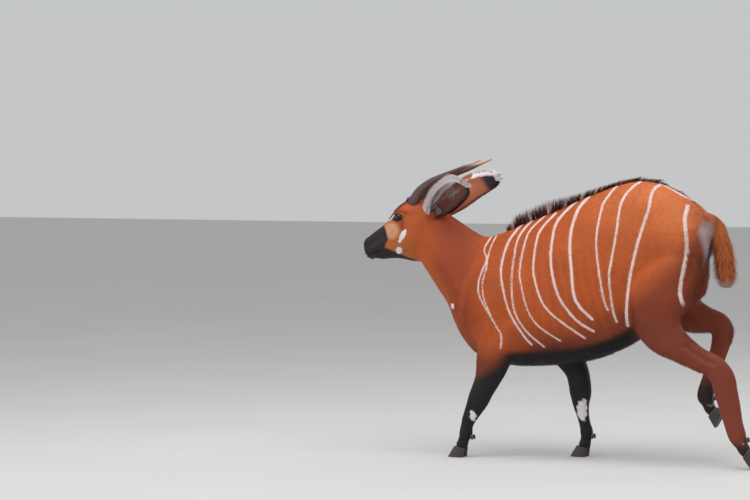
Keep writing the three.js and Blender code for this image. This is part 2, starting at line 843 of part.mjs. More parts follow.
// Where the flesh is parted: a thin slab across the neck at each end, with its turn about Y
const CUTS = [
  { at: [-632, 0, 820], size: [GAP, 500, 700], turn: 0.32 },
  { at: [-850, 0, 1030], size: [GAP, 400, 420], turn: 0.3 },
];

function buildFlesh() {
  const parts = [solid(bodyGeometry()), solid(headGeometry())];
  for (const name of Object.keys(FEET)) parts.push(solid(legGeometry(FEET[name].rows)));
  return join(parts);
}

function partFlesh() {
  let whole = buildFlesh();
  for (const cut of CUTS) whole = whole.subtract(cutSlab(cut.at, cut.size, cut.turn));
  const pieces = whole.decompose().filter((piece) => piece.volume() > 1e5);
  pieces.sort((a, b) => a.boundingBox().min[0] - b.boundingBox().min[0]);
  const [head, neck, rest] = pieces;
  const out = { head, neck };
  let trunk = rest;
  for (const name of Object.keys(FEET)) {
    out[name] = largest(rest.intersect(solid(legRegion(name))));
    trunk = trunk.subtract(solid(legRegion(name, GAP)));
  }
  out.trunk = largest(trunk);
  return out;
}

const group = new THREE.Group();

function addNode(name, body, look) {
  const [colour, roughness] = COLOURS[look];
  const material = new THREE.MeshStandardMaterial({ color: colour, roughness, metalness: 0 });
  const mesh = new THREE.Mesh(geometryOf(body, name), material);
  mesh.name = name;
  group.add(mesh);
}

// The ear's shell joined to a solid stub where it leaves the head
function buildEar(sided, cutter, line) {
  const { along, open } = earFrame(line);
  const stub = bead([0, 0, 0], [36, 21, 21], 0, 0, 10, 6);
  stub.applyQuaternion(new THREE.Quaternion().setFromUnitVectors(
    new THREE.Vector3(1, 0, 0), along));
  const place = new THREE.Vector3(...EAR_ROOT).addScaledVector(open, -5);
  stub.translate(place.x, place.y, place.z);
  const shell = largest(sided(earGeometry(line)).add(sided(stub)).subtract(cutter));
  return addFringe(shell, sided, line);
}

function buildHead(head) {
  let body = head;
  for (const side of [-1, 1]) {
    body = body.add(solid(lidGeometry(side, true))).add(solid(lidGeometry(side, false)));
    const nostril = bead([-1161, side * 30, 986], [17, 9, 11], 0.55, side * 0.7, 9, 6);
    body = body.subtract(solid(nostril));
  }
  for (const side of [-1, 1]) {
    const eye = EYE_CENTRE.map((value, k) => (k === 1 ? value * side : value));
    const grown = EYE_RADIUS + GAP;
    body = body.subtract(solid(bead(eye, [grown, grown, grown])));
  }
  return largest(body.subtract(mouthGroove()));
}

const flesh = partFlesh();
const grownHead = solid(headGeometry(ROOT_GAP));
const grownBody = solid(bodyGeometry(ROOT_GAP));
const grownRump = solid(bodyGeometry(ROOT_GAP).translate(ROOT_GAP, 0, 0));
addNode('head', buildHead(flesh.head), 'face');
addNode('neck', flesh.neck, 'neck');
addNode('trunk', addMane(flesh.trunk), 'coat');
for (const name of Object.keys(FEET)) {
  addNode(name, flesh[name], name.startsWith('fore') ? 'black_leg' : 'brown_leg');
}
for (const side of [-1, 1]) {
  const name = side < 0 ? 'left' : 'right';
  const sided = (geometry) => solid(side < 0 ? mirrored(geometry) : geometry);
  const eye = EYE_CENTRE.map((value, k) => (k === 1 ? value * side : value));
  addNode(`eye_${name}`, solid(bead(eye, [EYE_RADIUS, EYE_RADIUS, EYE_RADIUS])), 'eye');
  addNode(`horn_${name}`, largest(sided(hornGeometry()).subtract(grownHead)), 'horn');
  addNode(`ear_${name}`, buildEar(sided, grownHead.add(grownBody), EAR_LINES[name]), 'ear');
}
for (const [name, foot] of Object.entries(FEET)) {
  const leg = solid(legGeometry(foot.rows, ROOT_GAP));
  for (const side of [-1, 1]) {
    const word = side < 0 ? 'left' : 'right';
    const claw = solid(footClaw(foot, side)).subtract(leg);
    addNode(`claw_${word}_${name}`, largest(claw), 'hoof');
    const dew = solid(dewclaw(foot, side)).subtract(leg);
    addNode(`dewclaw_${word}_${name}`, largest(dew), 'hoof');
  }
}
const thighs = join([HIND_NEAR, HIND_FAR].map((rows) => solid(legGeometry(rows, ROOT_GAP))));
const tail = solid(skinRings(limbRings(TAIL_ROWS, 10, 2))).subtract(thighs);
addNode('tail', addTuft(largest(tail.subtract(grownBody).subtract(grownRump))), 'rump');

// The frame: the middle of the box stands on the floor
const box = new THREE.Box3().setFromObject(group);
group.position.set(-(box.min.x + box.max.x) / 2, -(box.min.y + box.max.y) / 2, -box.min.z);

export default group;
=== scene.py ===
import math

import bmesh
import bpy
import numpy as np
from bpy.props import FloatProperty, FloatVectorProperty, IntProperty, PointerProperty
from bpy.types import Operator, Panel, PropertyGroup
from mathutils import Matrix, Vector


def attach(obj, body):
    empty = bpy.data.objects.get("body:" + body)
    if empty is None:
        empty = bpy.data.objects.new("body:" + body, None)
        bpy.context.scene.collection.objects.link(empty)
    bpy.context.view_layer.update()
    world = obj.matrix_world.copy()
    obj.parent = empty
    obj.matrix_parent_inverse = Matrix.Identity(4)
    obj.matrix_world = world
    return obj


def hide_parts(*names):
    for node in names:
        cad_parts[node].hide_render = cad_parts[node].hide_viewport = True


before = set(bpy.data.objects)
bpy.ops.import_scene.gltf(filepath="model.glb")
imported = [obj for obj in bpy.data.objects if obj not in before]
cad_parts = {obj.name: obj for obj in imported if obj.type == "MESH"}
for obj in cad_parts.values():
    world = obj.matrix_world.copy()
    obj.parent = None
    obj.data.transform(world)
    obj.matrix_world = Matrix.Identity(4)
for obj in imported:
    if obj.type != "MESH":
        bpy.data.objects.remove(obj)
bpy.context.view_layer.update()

bl_info = {
    "name": "Bongo antelope",
    "version": (1, 0, 0),
    "blender": (4, 5, 0),
    "location": "3D View > Sidebar > Bongo",
    "description": "Builds the skin, coat, horns, hooves and studio of a bongo antelope",
    "category": "Add Mesh",
}

# The tables below are in millimetres from a point under the body. ORIGIN moves that
# point to its place in the frame of the solids, in metres.
ORIGIN = np.array([0.19342, 0.01646, 0.0])
LEFT, RIGHT = -1, 1

# Rings of the neck and trunk: top x and z, low x and z, half width, level, two powers
BODY_ROWS = [
    [-893, 1166, -905, 985, 52, 0.5, 2.0, 2.0],
    [-842, 1178, -882, 905, 70, 0.5, 2.0, 2.0],
    [-764, 1142, -845, 846, 80, 0.5, 2.0, 2.0],
    [-682, 1092, -792, 770, 92, 0.5, 2.0, 2.0],
    [-618, 1052, -742, 700, 110, 0.48, 1.9, 2.0],
    [-558, 1028, -703, 610, 126, 0.48, 1.8, 2.0],
    [-494, 1040, -660, 536, 143, 0.47, 1.75, 2.0],
    [-424, 1066, -600, 474, 154, 0.46, 1.75, 2.0],
    [-360, 1094, -520, 438, 161, 0.45, 1.75, 2.0],
    [-270, 1128, -400, 424, 170, 0.44, 1.8, 2.1],
    [-180, 1165, -285, 427, 180, 0.43, 1.85, 2.1],
    [-90, 1205, -175, 438, 188, 0.42, 1.9, 2.1],
    [0, 1241, -65, 455, 191, 0.42, 1.95, 2.1],
    [90, 1273, 40, 486, 188, 0.44, 2.0, 2.1],
    [177, 1293, 140, 530, 180, 0.47, 2.0, 2.1],
    [273, 1289, 238, 592, 171, 0.52, 2.0, 2.1],
    [368, 1250, 335, 682, 163, 0.56, 2.0, 2.1],
    [452, 1198, 425, 790, 152, 0.58, 2.0, 2.1],
    [508, 1140, 488, 890, 118, 0.56, 2.0, 2.0],
    [534, 1085, 524, 965, 62, 0.5, 2.0, 2.0],
]
# Swells of the sides: middle x, y, z, reach in x, y, z, and the push outwards
BODY_SWELLS = [
    [-540, 150, 720, 170, 200, 220, 10],
    [-400, 170, 800, 170, 200, 300, 8],
    [-270, 200, 900, 150, 200, 260, -8],
    [60, 200, 1030, 170, 200, 200, -10],
    [190, 170, 1180, 130, 160, 120, 9],
    [200, 190, 760, 130, 200, 170, -9],
]
HEAD_ROWS = [
    [-835, 1172, -800, 985, 55, 0.55, 2.0, 2.0],
    [-868, 1192, -840, 925, 72, 0.58, 2.1, 2.0],
    [-905, 1200, -880, 902, 78, 0.6, 2.2, 2.0],
    [-952, 1192, -922, 901, 78, 0.62, 2.3, 1.9],
    [-990, 1168, -958, 908, 75, 0.62, 2.3, 1.8],
    [-1018, 1138, -992, 913, 68, 0.6, 2.3, 1.8],
    [-1042, 1108, -1022, 914, 59, 0.58, 2.3, 1.9],
    [-1066, 1079, -1050, 911, 52, 0.56, 2.3, 2.0],
    [-1098, 1056, -1084, 907, 48, 0.54, 2.3, 2.1],
    [-1128, 1034, -1114, 905, 47, 0.54, 2.4, 2.2],
    [-1152, 1014, -1138, 908, 45, 0.54, 2.4, 2.2],
    [-1166, 998, -1155, 918, 36, 0.54, 2.3, 2.2],
    [-1172, 983, -1166, 940, 18, 0.5, 2.0, 2.0],
]
HEAD_SWELLS = [
    [-968, 70, 1150, 46, 60, 34, 13],
    [-925, 78, 985, 62, 60, 80, 9],
    [-1030, 62, 1010, 60, 50, 60, -5],
    [-1148, 34, 1002, 26, 30, 26, 7],
    [-1138, 40, 945, 34, 34, 22, 5],
]
# Limbs: centre x, y, z, half depth and half width from the trunk down. The tail is the same
LEG_ROWS = {
    "foreleg_left": [
        [-520, -72, 760, 84, 52], [-492, -92, 640, 104, 62], [-466, -104, 530, 98, 62],
        [-482, -116, 440, 82, 54], [-505, -119, 368, 64, 45], [-530, -120, 315, 56, 41],
        [-550, -120, 270, 53, 41], [-573, -120, 224, 44, 33], [-596, -120, 180, 36, 28],
        [-608, -120, 143, 31, 27], [-612, -120, 112, 34, 31], [-622, -120, 82, 27, 27],
        [-632, -120, 54, 30, 32], [-640, -120, 30, 22, 24],
    ],
    "foreleg_right": [
        [-420, 74, 740, 84, 52], [-352, 94, 640, 100, 62], [-262, 106, 545, 90, 58],
        [-190, 112, 468, 72, 50], [-148, 114, 400, 59, 45], [-134, 114, 345, 56, 41],
        [-128, 114, 296, 54, 41], [-126, 114, 245, 42, 33], [-117, 114, 195, 32, 28],
        [-106, 114, 150, 29, 27], [-98, 114, 115, 33, 31], [-101, 114, 82, 27, 27],
        [-108, 114, 54, 30, 32], [-113, 114, 30, 22, 24],
    ],
    "hindleg_left": [
        [372, -80, 1010, 112, 56], [358, -100, 900, 138, 74], [322, -116, 780, 148, 80],
        [312, -126, 684, 132, 72], [348, -132, 604, 100, 62], [422, -132, 544, 70, 50],
        [508, -130, 494, 56, 40], [580, -128, 462, 55, 36], [620, -126, 412, 59, 37],
        [636, -124, 350, 57, 35], [654, -121, 280, 52, 33], [671, -118, 205, 46, 32],
        [690, -115, 145, 43, 34], [706, -113, 112, 31, 29], [722, -112, 86, 30, 32],
        [738, -112, 61, 22, 24],
    ],
    "hindleg_right": [
        [372, 80, 1010, 112, 56], [362, 100, 900, 132, 74], [342, 116, 790, 132, 80],
        [356, 126, 712, 108, 72], [410, 128, 672, 84, 58], [474, 127, 656, 62, 44],
        [530, 126, 640, 52, 36], [550, 126, 600, 54, 35], [538, 124, 528, 45, 33],
        [514, 122, 452, 41, 32], [492, 120, 380, 39, 31], [472, 118, 306, 41, 33],
        [484, 117, 274, 31, 29], [496, 116, 248, 30, 32], [509, 116, 222, 22, 24],
    ],
}
TAIL_ROWS = [
    [462, 0, 1120, 28, 24], [510, 0, 1120, 34, 26], [548, 0, 1092, 38, 27],
    [568, 0, 1046, 40, 28], [582, 0, 1000, 37, 26], [591, 0, 950, 32, 23],
    [598, 0, 900, 24, 17], [601, 0, 858, 14, 10], [601, 0, 838, 6, 5],
]
# How far the head's form lies inside, and the legs' share of the coat's depth
HEAD_GROW = -1.5
LEG_GROW_SHARE = 0.7
# Horns: the left one's line, and its thickness at each point as a share of HORN_RADIUS
HORN_LINE = [
    [-918, 30, 1150], [-905, 36, 1190], [-873, 42, 1236], [-821, 48, 1277],
    [-745, 55, 1311], [-655, 63, 1345], [-556, 72, 1386],
]
HORN_SHARES = [1.02, 1.0, 0.88, 0.72, 0.58, 0.43, 0.15]
HORN_RADIUS = 25
HORN_SIDES = 28
HORN_GRAIN_DARK, HORN_GRAIN_LIGHT = (0.5, 0.45, 0.45), (1.35, 1.3, 1.3)
FAR_TIP_TINT = (1, 0.72, 0.5)
# Head: the left eye and nostril with their directions, openings and depths
EYE_CENTRE = [-972, 64, 1114]
EYE_RADIUS = 19
EYE_OUTWARD, EYE_FORWARD = (-0.30, 0.93, 0.12), (-0.94, 0, -0.30)
EYE_OPENING, IRIS_REACH = (17.5, 10.8), (7.5, 4.0)
LID_LIFT, CREASE_DEPTH = 1.6, 1.8
NOSTRIL = [-1161, 33, 986]
NOSTRIL_SLOT, NOSTRIL_INWARD = (-0.62, 0.45, -0.64), (0.55, -0.80, -0.20)
NOSTRIL_OPENING, NOSTRIL_DEPTH, NOSTRIL_RIM = (13.5, 6.0), 13, 2.6
MOUTH_DEPTH, LIP_LIFT, NOSE_GROOVE = 5.0, 1.3, 1.6
MOUTH_LINE = [[-1190, 928], [-1160, 927], [-1130, 932], [-1100, 942], [-1074, 954]]
# Ears: root, the line of each, where the cup opens, and the cup's size
EAR_ROOT = [-812, 62, 1126]
EAR_LINES = {LEFT: [0.73, 0.52, 0.44], RIGHT: [0.76, 0.42, 0.53]}
EAR_OPEN = [0.1, 0.9, -0.42]
EAR_LENGTH = 322
EAR_WIDTH = 64
EAR_WIDEST = 0.42
EAR_ROOT_REACH = (40, 20, 20)

# Tufts: how the width falls to the tip, the underside's share of the height, the size of
# a tuft on the flat sheet, and how far along a tuft its marks are read
TUFT_TAPER, TUFT_UNDERSIDE, TUFT_ON_SHEET, SEEN_SHARE = 1.7, 0.4, 0.0015, 0.6
# The skin under the tufts is a little darker. The brow tuft has its own middle and reach.
SKIN_DARKER = 0.95
BROW_CENTRE, BROW_REACH = (-932, 0, 1190), (34, 40, 30)
MANE_FROM, MANE_TO = -455, 430

# The camera that was solved from the photograph: turn, distance and height in metres,
# picture sizes in its pixels
CAMERA_TURN = math.radians(18)
CAMERA_AWAY = 13.5
CAMERA_HEIGHT = 1.55
CAMERA_PIXELS = 2925
CAMERA_AXIS = 600
FRAME_WIDE, FRAME_HIGH = 750, 500
GROUND_ROW = 460
SENSOR_WIDTH = 36
# Lights: name, place, size and share of the key light's power
LIGHTS = [
    ("top_light", (0.3, -1.5, 5.5), 5.0, 1.0),
    ("side_light", (-4.5, -5.0, 3.2), 3.5, 0.45),
    ("back_light", (3.5, 4.5, 3.5), 3.5, 0.3),
]
LIGHTS_AIM = (0, 0, 0.8)

# Markings of one side as lines in picture points (across, down), each with its half
# width. Both sides of the animal wear them, seen square to the near side.
STRIPES = [
    ([(493.4, 234), (485.5, 246), (484.4, 252), (486.7, 260), (480.5, 275), (478.2, 288),
      (481, 300), (490.5, 316), (496, 326), (501.5, 336), (500.5, 348)], 0.75),
    ([(497.3, 234), (491.8, 245), (488, 257), (486.5, 268), (482.8, 281), (482.8, 294),
      (487.5, 308), (491.5, 317)], 0.65),
    ([(529, 217), (516, 231), (508, 243), (503.3, 257), (501, 271), (502.3, 284.6),
      (509, 311.5), (522.7, 334.4), (531.8, 344.8)], 1.0),
    ([(537, 216), (525, 228), (518, 239), (514.7, 253), (511.6, 282.6), (514.6, 311.5),
      (527, 332), (544.5, 347)], 0.85),
    ([(546, 215), (533, 227), (526, 239), (520, 267), (520.7, 282.6), (527.2, 309),
      (538.7, 326.4), (560.5, 341)], 0.8),
    ([(556, 213), (542.8, 227), (537, 239), (533.3, 265), (534.5, 278.6), (541.5, 301),
      (554.8, 317), (584.6, 338)], 1.0),
    ([(577, 201), (564.6, 212.4), (556.6, 223), (552.7, 237), (551, 265), (558.6, 296.4),
      (575.5, 319.5), (594, 331.5)], 1.2),
    ([(596, 189), (584.3, 201.5), (576.4, 213.4), (570, 239), (571.5, 271),
      (575.4, 300.4), (592.2, 319.2)], 1.45),
    ([(628, 177), (616, 186.7), (608, 196.6), (602, 207.4), (596.2, 239), (598.8, 271),
      (604, 300.4), (608, 310)], 1.0),
    ([(650, 176), (635.7, 184.7), (625.8, 194.6), (620, 207.4), (616, 235), (611, 263),
      (609, 278.6), (613, 310.3), (617, 322)], 1.1),
    ([(668, 181), (655.5, 187.7), (650.6, 197.6), (648.6, 209.4), (637.7, 243),
      (629.8, 278.6), (626.4, 310.3), (627.8, 326)], 1.4),
    ([(688, 206.5), (684.8, 220), (687, 243), (686, 257), (680.2, 288.5), (682.2, 302.3),
      (689, 314)], 1.9),
    ([(664, 184.5), (672, 188.5), (682.3, 194.7), (698, 203.4), (709, 211)], 1.8),
]
# The small white marks of the face and breast, in the same way
PALE_LINES = [
    ([(405, 230.8), (402.4, 236), (399.6, 241.4)], 1.5),
    ([(403.6, 233.2), (401.6, 237.2)], 2.4),
    ([(399, 250.2), (399.1, 250.6)], 3.2),
    ([(374.5, 259), (381, 259.4)], 0.7),
    ([(452.5, 305), (452.6, 307.5)], 1.5),
]
# Where white locks stand in the mane, across the picture
MANE_WHITE = [513, 531, 549, 565, 581, 594]
# Front edge of the pale patch beside the tail: down, across
PATCH_EDGE = [(222, 700), (232, 699), (245, 702), (258, 704), (272, 702), (288, 697), (296, 702)]
# Rear edge of the dark muzzle: down, across
MUZZLE_EDGE = [(215, 380), (224, 383.6), (232, 386.4), (239, 388), (245, 385.5), (250, 384),
               (262, 383)]
# Dark band under the jaw, pale cheek, dark forehead, and the dark ring and streak at the eye
JAW_BAND = [(380, 252), (390, 255), (402, 258.5), (415, 262)]
CHEEK, CHEEK_REACH = (391.5, 230.5), (8.2, 9.5)
FOREHEAD = [(391, 211), (399, 203.5), (411, 197)]
EYE_RING, EYE_RING_REACH = (397.2, 217.4), (5.8, 4.0)
EYE_STREAK = [(402, 221), (402.5, 229)]
# The pale band from the nose bridge to the eye, in the tables' millimetres
CHEVRON = [(-1066, 0, 1082), (-1044, 30, 1092), (-1014, 52, 1100), (-1001, 56, 1119)]
CHEVRON_HALF = 4.5
PICTURE_POINT_MM = 4.6

# Ribs under the skin, and folds and muscles of the sides: a line in x and z, its width and
# its push in millimetres, and the side that wears it (0 for both)
RIB_SPACING, RIB_DEPTH, FOLD_STRENGTH = 7.5, 0.7, 1.25
FOLDS = [
    ([(-430, 1040), (-500, 900), (-575, 760)], 42, 4.5, 0),
    ([(-545, 960), (-625, 800), (-650, 680)], 30, -5.5, 0),
    ([(-325, 970), (-350, 820), (-385, 660)], 42, -5.5, 0),
    ([(-600, 700), (-500, 610)], 42, 4, 0),
    ([(-395, 600), (-380, 560)], 34, 6, LEFT),
    ([(-450, 690), (-400, 640)], 26, -4, LEFT),
    ([(100, 930), (190, 965)], 85, -8, 0),
    ([(170, 850), (215, 740), (250, 660)], 26, 3.5, 0),
    ([(120, 860), (165, 730), (200, 640)], 34, -5, 0),
    ([(205, 1200), (235, 1185)], 42, 7, 0),
    ([(470, 1040), (478, 940), (440, 800)], 24, -6, 0),
    ([(315, 1120), (365, 960), (385, 820)], 40, -4, 0),
    ([(250, 980), (240, 860), (235, 760)], 60, 5, 0),
    ([(500, 1085), (510, 1060)], 38, 5, 0),
    ([(455, 553), (520, 508), (585, 478)], 13, -5, LEFT),
    ([(650, 330), (668, 250), (688, 160)], 9, -3, LEFT),
    ([(480, 640), (520, 628)], 12, -4, RIGHT),
    ([(-520, 430), (-545, 350)], 14, -3, LEFT),
    ([(-860, 975), (-775, 850), (-700, 720)], 22, -4.5, 0),
    ([(-850, 1060), (-750, 920), (-660, 790)], 34, 3.5, 0),
    ([(-838, 1060), (-800, 970)], 30, -2.5, 0),
    ([(-935, 1010), (-940, 980)], 44, 5, 0),
    ([(-925, 1120), (-905, 1115)], 24, -4, 0),
    ([(-1005, 1082), (-1065, 1022), (-1120, 985)], 13, -3.5, 0),
    ([(-1000, 1142), (-965, 1148), (-935, 1140)], 10, 3.5, 0),
    ([(-1080, 935), (-1000, 940), (-930, 950)], 15, -3, 0),
    ([(-1110, 960), (-1080, 972)], 12, 2.5, 0),
]

COLOURS = {
    "flank": (0.50, 0.094, 0.016),
    # rump: a lighter chestnut, laid along the top of the back and rump as a painted highlight
    "rump": (0.70, 0.190, 0.052),
    "neck": (0.34, 0.056, 0.015),
    "low": (0.20, 0.034, 0.014),
    "cheek": (0.68, 0.37, 0.21),
    "jaw": (0.48, 0.15, 0.030),
    "black": (0.010, 0.007, 0.008),
    "muzzle": (0.022, 0.012, 0.015),
    "mane": (0.075, 0.015, 0.008),
    "hind": (0.235, 0.046, 0.022),
    "grey": (0.62, 0.50, 0.52),
    "stripe": (0.84, 0.66, 0.60),
    "white": (0.80, 0.76, 0.76),
    "tail": (0.52, 0.14, 0.030),
    "ear": (0.44, 0.13, 0.055),
    "ear_in": (0.15, 0.055, 0.040),
    "ear_rim": (0.90, 0.84, 0.86),
    "horn": (0.105, 0.055, 0.048),
    "horn_tip": (0.72, 0.52, 0.36),
    "pupil": (0.003, 0.003, 0.004),
    "iris_dark": (0.012, 0.005, 0.003),
    "iris": (0.034, 0.013, 0.007),
    "hoof_dark": (0.014, 0.012, 0.013),
    "hoof_light": (0.075, 0.060, 0.055),
    "floor_dark": (0.60, 0.59, 0.575),
    "floor_light": (0.65, 0.64, 0.625),
    "sky": (0.92, 0.94, 0.96),
}

# Soft round marks at the feet: middle, then the reach in x, y and z
GARTERS = [
    ((-570, -134, 205), (17, 20, 32)), ((-572, -96, 200), (24, 14, 30)),
    ((-112, 90, 222), (26, 16, 52)),
    ((-640, -120, 62), (14, 22, 8)), ((-116, 114, 62), (14, 22, 8)),
    ((706, -112, 118), (24, 24, 13)), ((500, 116, 262), (22, 24, 13)),
]
# A signed distance that is far outside every mark
NO_MARK = 9.0

# Layers are blended in order. Each has what it blends in, its strength and its bounds.
# A bound is the name of a field, or a field with the value where the layer starts and
# the value where it is full. The fields are worked out in body_fields and picture_fields.
COAT_LAYERS = [
    # Painted highlight: the top of the back and the rump get lighter towards the spine, where the
    # light from above falls
    ("rump", 0.85, ("x", -250, 330), ("under_spine", 420, 20)),
    ("neck", 0.8, "neck_tone"),
    ("flank", 0.8, ("over_belly", 170, 50), ("x", -600, -720)),
    ("neck", 0.6, ("x", -560, -700), ("under_spine", 110, 30)),
    ("low", 0.75, ("over_belly", 250, 80), ("x", -420, -250)),
    ("low", 0.75, ("x", 120, 260), ("z", 830, 600)),
    ("hind", 1, "hindleg"),
    ("low", 0.85, "foreleg", ("z", 600, 430)),
]
HEAD_LAYERS = [
    ("flank", 0.7, "head"),
    ("jaw", 0.75, "head", ("down", 228, 246), ("across", 424, 400)),
    ("cheek", 0.9, "head", ("from_cheek", 1.15, 0.6)),
    ("mane", 0.8, "head", ("from_forehead", 5.5, 2.5)),
    ("muzzle", 1, "head", ("from_eye", 1.15, 0.85)),
    ("mane", 0.55, "head", ("from_streak", 3.2, 0.3)),
    ("muzzle", 1, "head", ("in_muzzle", -1.3, 1.3)),
    ("muzzle", 1, "head", ("from_jaw_band", 1.2, -1.2)),
    ("muzzle", 1, "head", ("faces_down", 0.6, 0.85), ("across", 418, 400)),
]
BODY_LAYERS = [
    ("black", 1, "trunk", ("across", 492, 512), ("over_belly", 88, 50), ("x", 250, 160)),
    ("black", 1, "black_foreleg"),
    ("black", 0.93, "black_hindleg"),
    ("mane", 0.9, ("under_spine", 26, 6), ("aside", 34, 14), ("x", -470, -420), ("x", 470, 400)),
    ("tail", 1, "tail"),
    ("low", 0.6, "tail", ("x", 585, 560)),
    ("grey", 0.8, "tail", ("z", 880, 845)),
    # The pale patch beside the tail is painted grey: white hair of its own, with painted shade on
    # the rear of the buttocks
    ("grey", 0.9, "buttock", ("in_patch", -3.0, 3.5), ("down", 216, 234), ("down", 300, 282),
     ("aside", 8, 30)),
    ("low", 0.8, "cleft", ("aside", 30, 8), ("z", 1060, 1000)),
]
# Direction and length of the hair in layers of the same kind
TRUNK_LIE = (1.0, 0.0, -0.22)
LIE_LAYERS = [
    ((0.75, 0, -0.62), 1, "neck"),
    ((1.0, 0, 0.35), 1, "face"),
    ((0.45, 0, -0.9), 0.8, ("x", 180, 420), ("z", 1120, 900)),
    ((0.12, 0, -1.0), 1, "leg"),
    ((0.1, 0, -1.0), 1, "tail"),
]
TRUNK_HAIR = 15.0
LENGTH_LAYERS = [
    (8.0, 1, "leg", ("z", 480, 330)),
    (7.0, 1, ("x", -640, -900)),
    (4.5, 1, ("x", -1000, -1080)),
]
BELLY_HAIR, BUTTOCK_HAIR = 7, 9

# Places where the joined parts are softened: x and z, and how far it reaches
JOINS = [
    ((-480, 700), 190), ((300, 760), 260), ((-870, 1040), 150), ((-300, 540), 190),
    ((520, 1100), 70), ((-410, 520), 140), ((230, 640), 130), ((-812, 1126), 60),
]
NECK_END = -840
EYE_DETAIL, NOSTRIL_DETAIL = 46, 34
LIPS_FROM, LIPS_LEVEL, LIPS_DETAIL = -1066, 936, 20

# The mane from front to back: x against height, spread and lean
MANE_HEIGHT = [(-455, 22), (-415, 56), (-370, 66), (-250, 68), (-120, 36), (60, 22), (430, 12)]
MANE_SPREAD = [(-455, 7), (-250, 9), (0, 8), (430, 6)]
MANE_LEAN = [(-455, 0.22), (-250, 0.32), (-100, 0.7), (430, 2.2)]
MANE_ROOT = 9
# The tail's hair from root to end: share of the way against length and rise
TAIL_LENGTH = [(0.2, 38), (0.45, 58), (0.7, 68), (1, 44)]
TAIL_RISE = [(0.2, 0.24), (0.5, 0.36), (0.8, 0.46), (1, 0.36)]
TAIL_LOWEST = 808

# Rows of hair on each ear: count, ranges of u and v, face (-1 is the inner one), length,
# width, lean to the rim, rise in degrees, tone, and whether the row's edge is scattered
EAR_HAIR = [
    (2600, (0.0, 0.97), (0.40, 0.9), -1, 26, 2.4, 0.5, 10, "ear_rim", False),
    (2600, (-0.02, 0.97), (0.80, 1.0), -1, 38, 2.4, 1.7, 6, "ear_rim", False),
    (700, (0.66, 0.97), (0.6, 1.0), -1, 48, 2.4, 1.2, 4, "ear_rim", False),
    (3200, (0.0, 0.95), (0.84, 1.0), 1, 27, 2.2, 1.4, 5, None, False),
    (700, (0.94, 1.0), (-0.5, 1.0), 1, 34, 2.0, 0.3, 4, "ear_rim", False),
    (500, (0.36, 0.52), (0.0, 0.3), -1, 24, 1.8, 0.2, 12, "grey", True),
    (900, (0.2, 0.97), (-1.0, -0.8), -1, 15, 2.0, 0.3, 10, "muzzle", False),
    (5000, (0.0, 0.97), (-0.97, 0.90), 1, 9, 2.2, 0.05, 4, None, False),
    (900, (-0.03, 0.08), (-0.6, 1.0), -1, 26, 2.0, 0.5, 18, "ear_rim", False),
    (700, (-0.04, 0.06), (0.2, 1.0), 1, 20, 2.0, 0.4, 12, "ear_rim", False),
]
FAR_EAR_FRINGE = 0.75

# What the finished skin hands to the hair: points, normals, triangles, bare and wet parts
SKIN = {}


# Numbers and shapes

def ramp(value, start, full):
    """0 at start, 1 at full and smooth between. Full may lie below start."""
    t = np.clip((np.asarray(value, float) - start) / (full - start), 0, 1)
    return t * t * (3 - 2 * t)


def lerp(a, b, t):
    """From a at 0 to b at 1."""
    return a + (b - a) * t


def blend_colour(base, name, mask):
    """Blends one named colour into many, by a mask."""
    return lerp(base, np.array(COLOURS[name]), np.asarray(mask)[:, None])


def unit(vectors):
    """Vectors at a length of one."""
    size = np.linalg.norm(vectors, axis=-1, keepdims=True)
    return vectors / np.maximum(size, 1e-9)


def lay_flat(vectors, normals):
    """Directions turned into the surface that the normals stand on."""
    return unit(vectors - normals * np.sum(vectors * normals, axis=1, keepdims=True))


def along_table(value, table):
    """The second column of a table, read at values of its first."""
    return np.interp(value, [row[0] for row in table], [row[1] for row in table])


def blend_layers(values, layers, field):
    """Blends layers of colours, directions or lengths into values, in order."""
    for aim, strength, *bounds in layers:
        mask = np.full(len(values), float(strength))
        for bound in bounds:
            if isinstance(bound, str):
                mask = mask * field[bound]
            else:
                name, start, full = bound
                mask = mask * ramp(field[name], start, full)
        aim = COLOURS[aim] if isinstance(aim, str) else aim
        values = lerp(values, np.array(aim), mask[:, None])
    return values


def smooth_rows(rows, steps):
    """Points on a smooth curve through the rows."""
    rows = np.asarray(rows, float)
    last = len(rows) - 1
    out = []
    for i in range(last):
        before, here = rows[max(0, i - 1)], rows[i]
        after, beyond = rows[i + 1], rows[min(last, i + 2)]
        for k in range(steps):
            t = k / steps
            out.append(0.5 * (2 * here + (after - before) * t
                              + (2 * before - 5 * here + 4 * after - beyond) * t * t
                              + (3 * here - before - 3 * after + beyond) * t ** 3))
    out.append(rows[last])
    return np.array(out)


def signed_power(value, power):
    """A power that keeps the sign, which squares off a circle."""
    return np.sign(value) * np.abs(value) ** power


def trunk_rings(rows, swells, steps, sides, grow):
    """Rings of a trunk or head, square to its middle line."""
    angle = np.linspace(0, 2 * math.pi, sides, endpoint=False)
    c, s = np.cos(angle), np.sin(angle)
    rings = []
    for top_x, top_z, low_x, low_z, half, level, top_power, low_power in smooth_rows(rows, steps):
        height = math.hypot(top_x - low_x, top_z - low_z)
        up = np.array([top_x - low_x, 0, top_z - low_z]) / height
        middle = np.array([low_x, 0, low_z]) + up * height * level
        power = np.where(c > 0, 2 / top_power, 2 / low_power)
        reach = np.where(c > 0, height * (1 - level), height * level) + grow
        ring = middle + np.outer(reach * signed_power(c, power), up)
        ring[:, 1] = (half + grow) * signed_power(s, power)
        rings.append(ring)
    rings = np.array(rings)
    for x, y, z, rx, ry, rz, amount in swells:
        d = (((rings[..., 0] - x) / rx) ** 2 + ((np.abs(rings[..., 1]) - y) / ry) ** 2
             + ((rings[..., 2] - z) / rz) ** 2)
        away = unit(rings - rings.mean(axis=1, keepdims=True))
        rings = rings + away * (amount * np.clip(1 - d, 0, 1) ** 2)[..., None]
    return rings


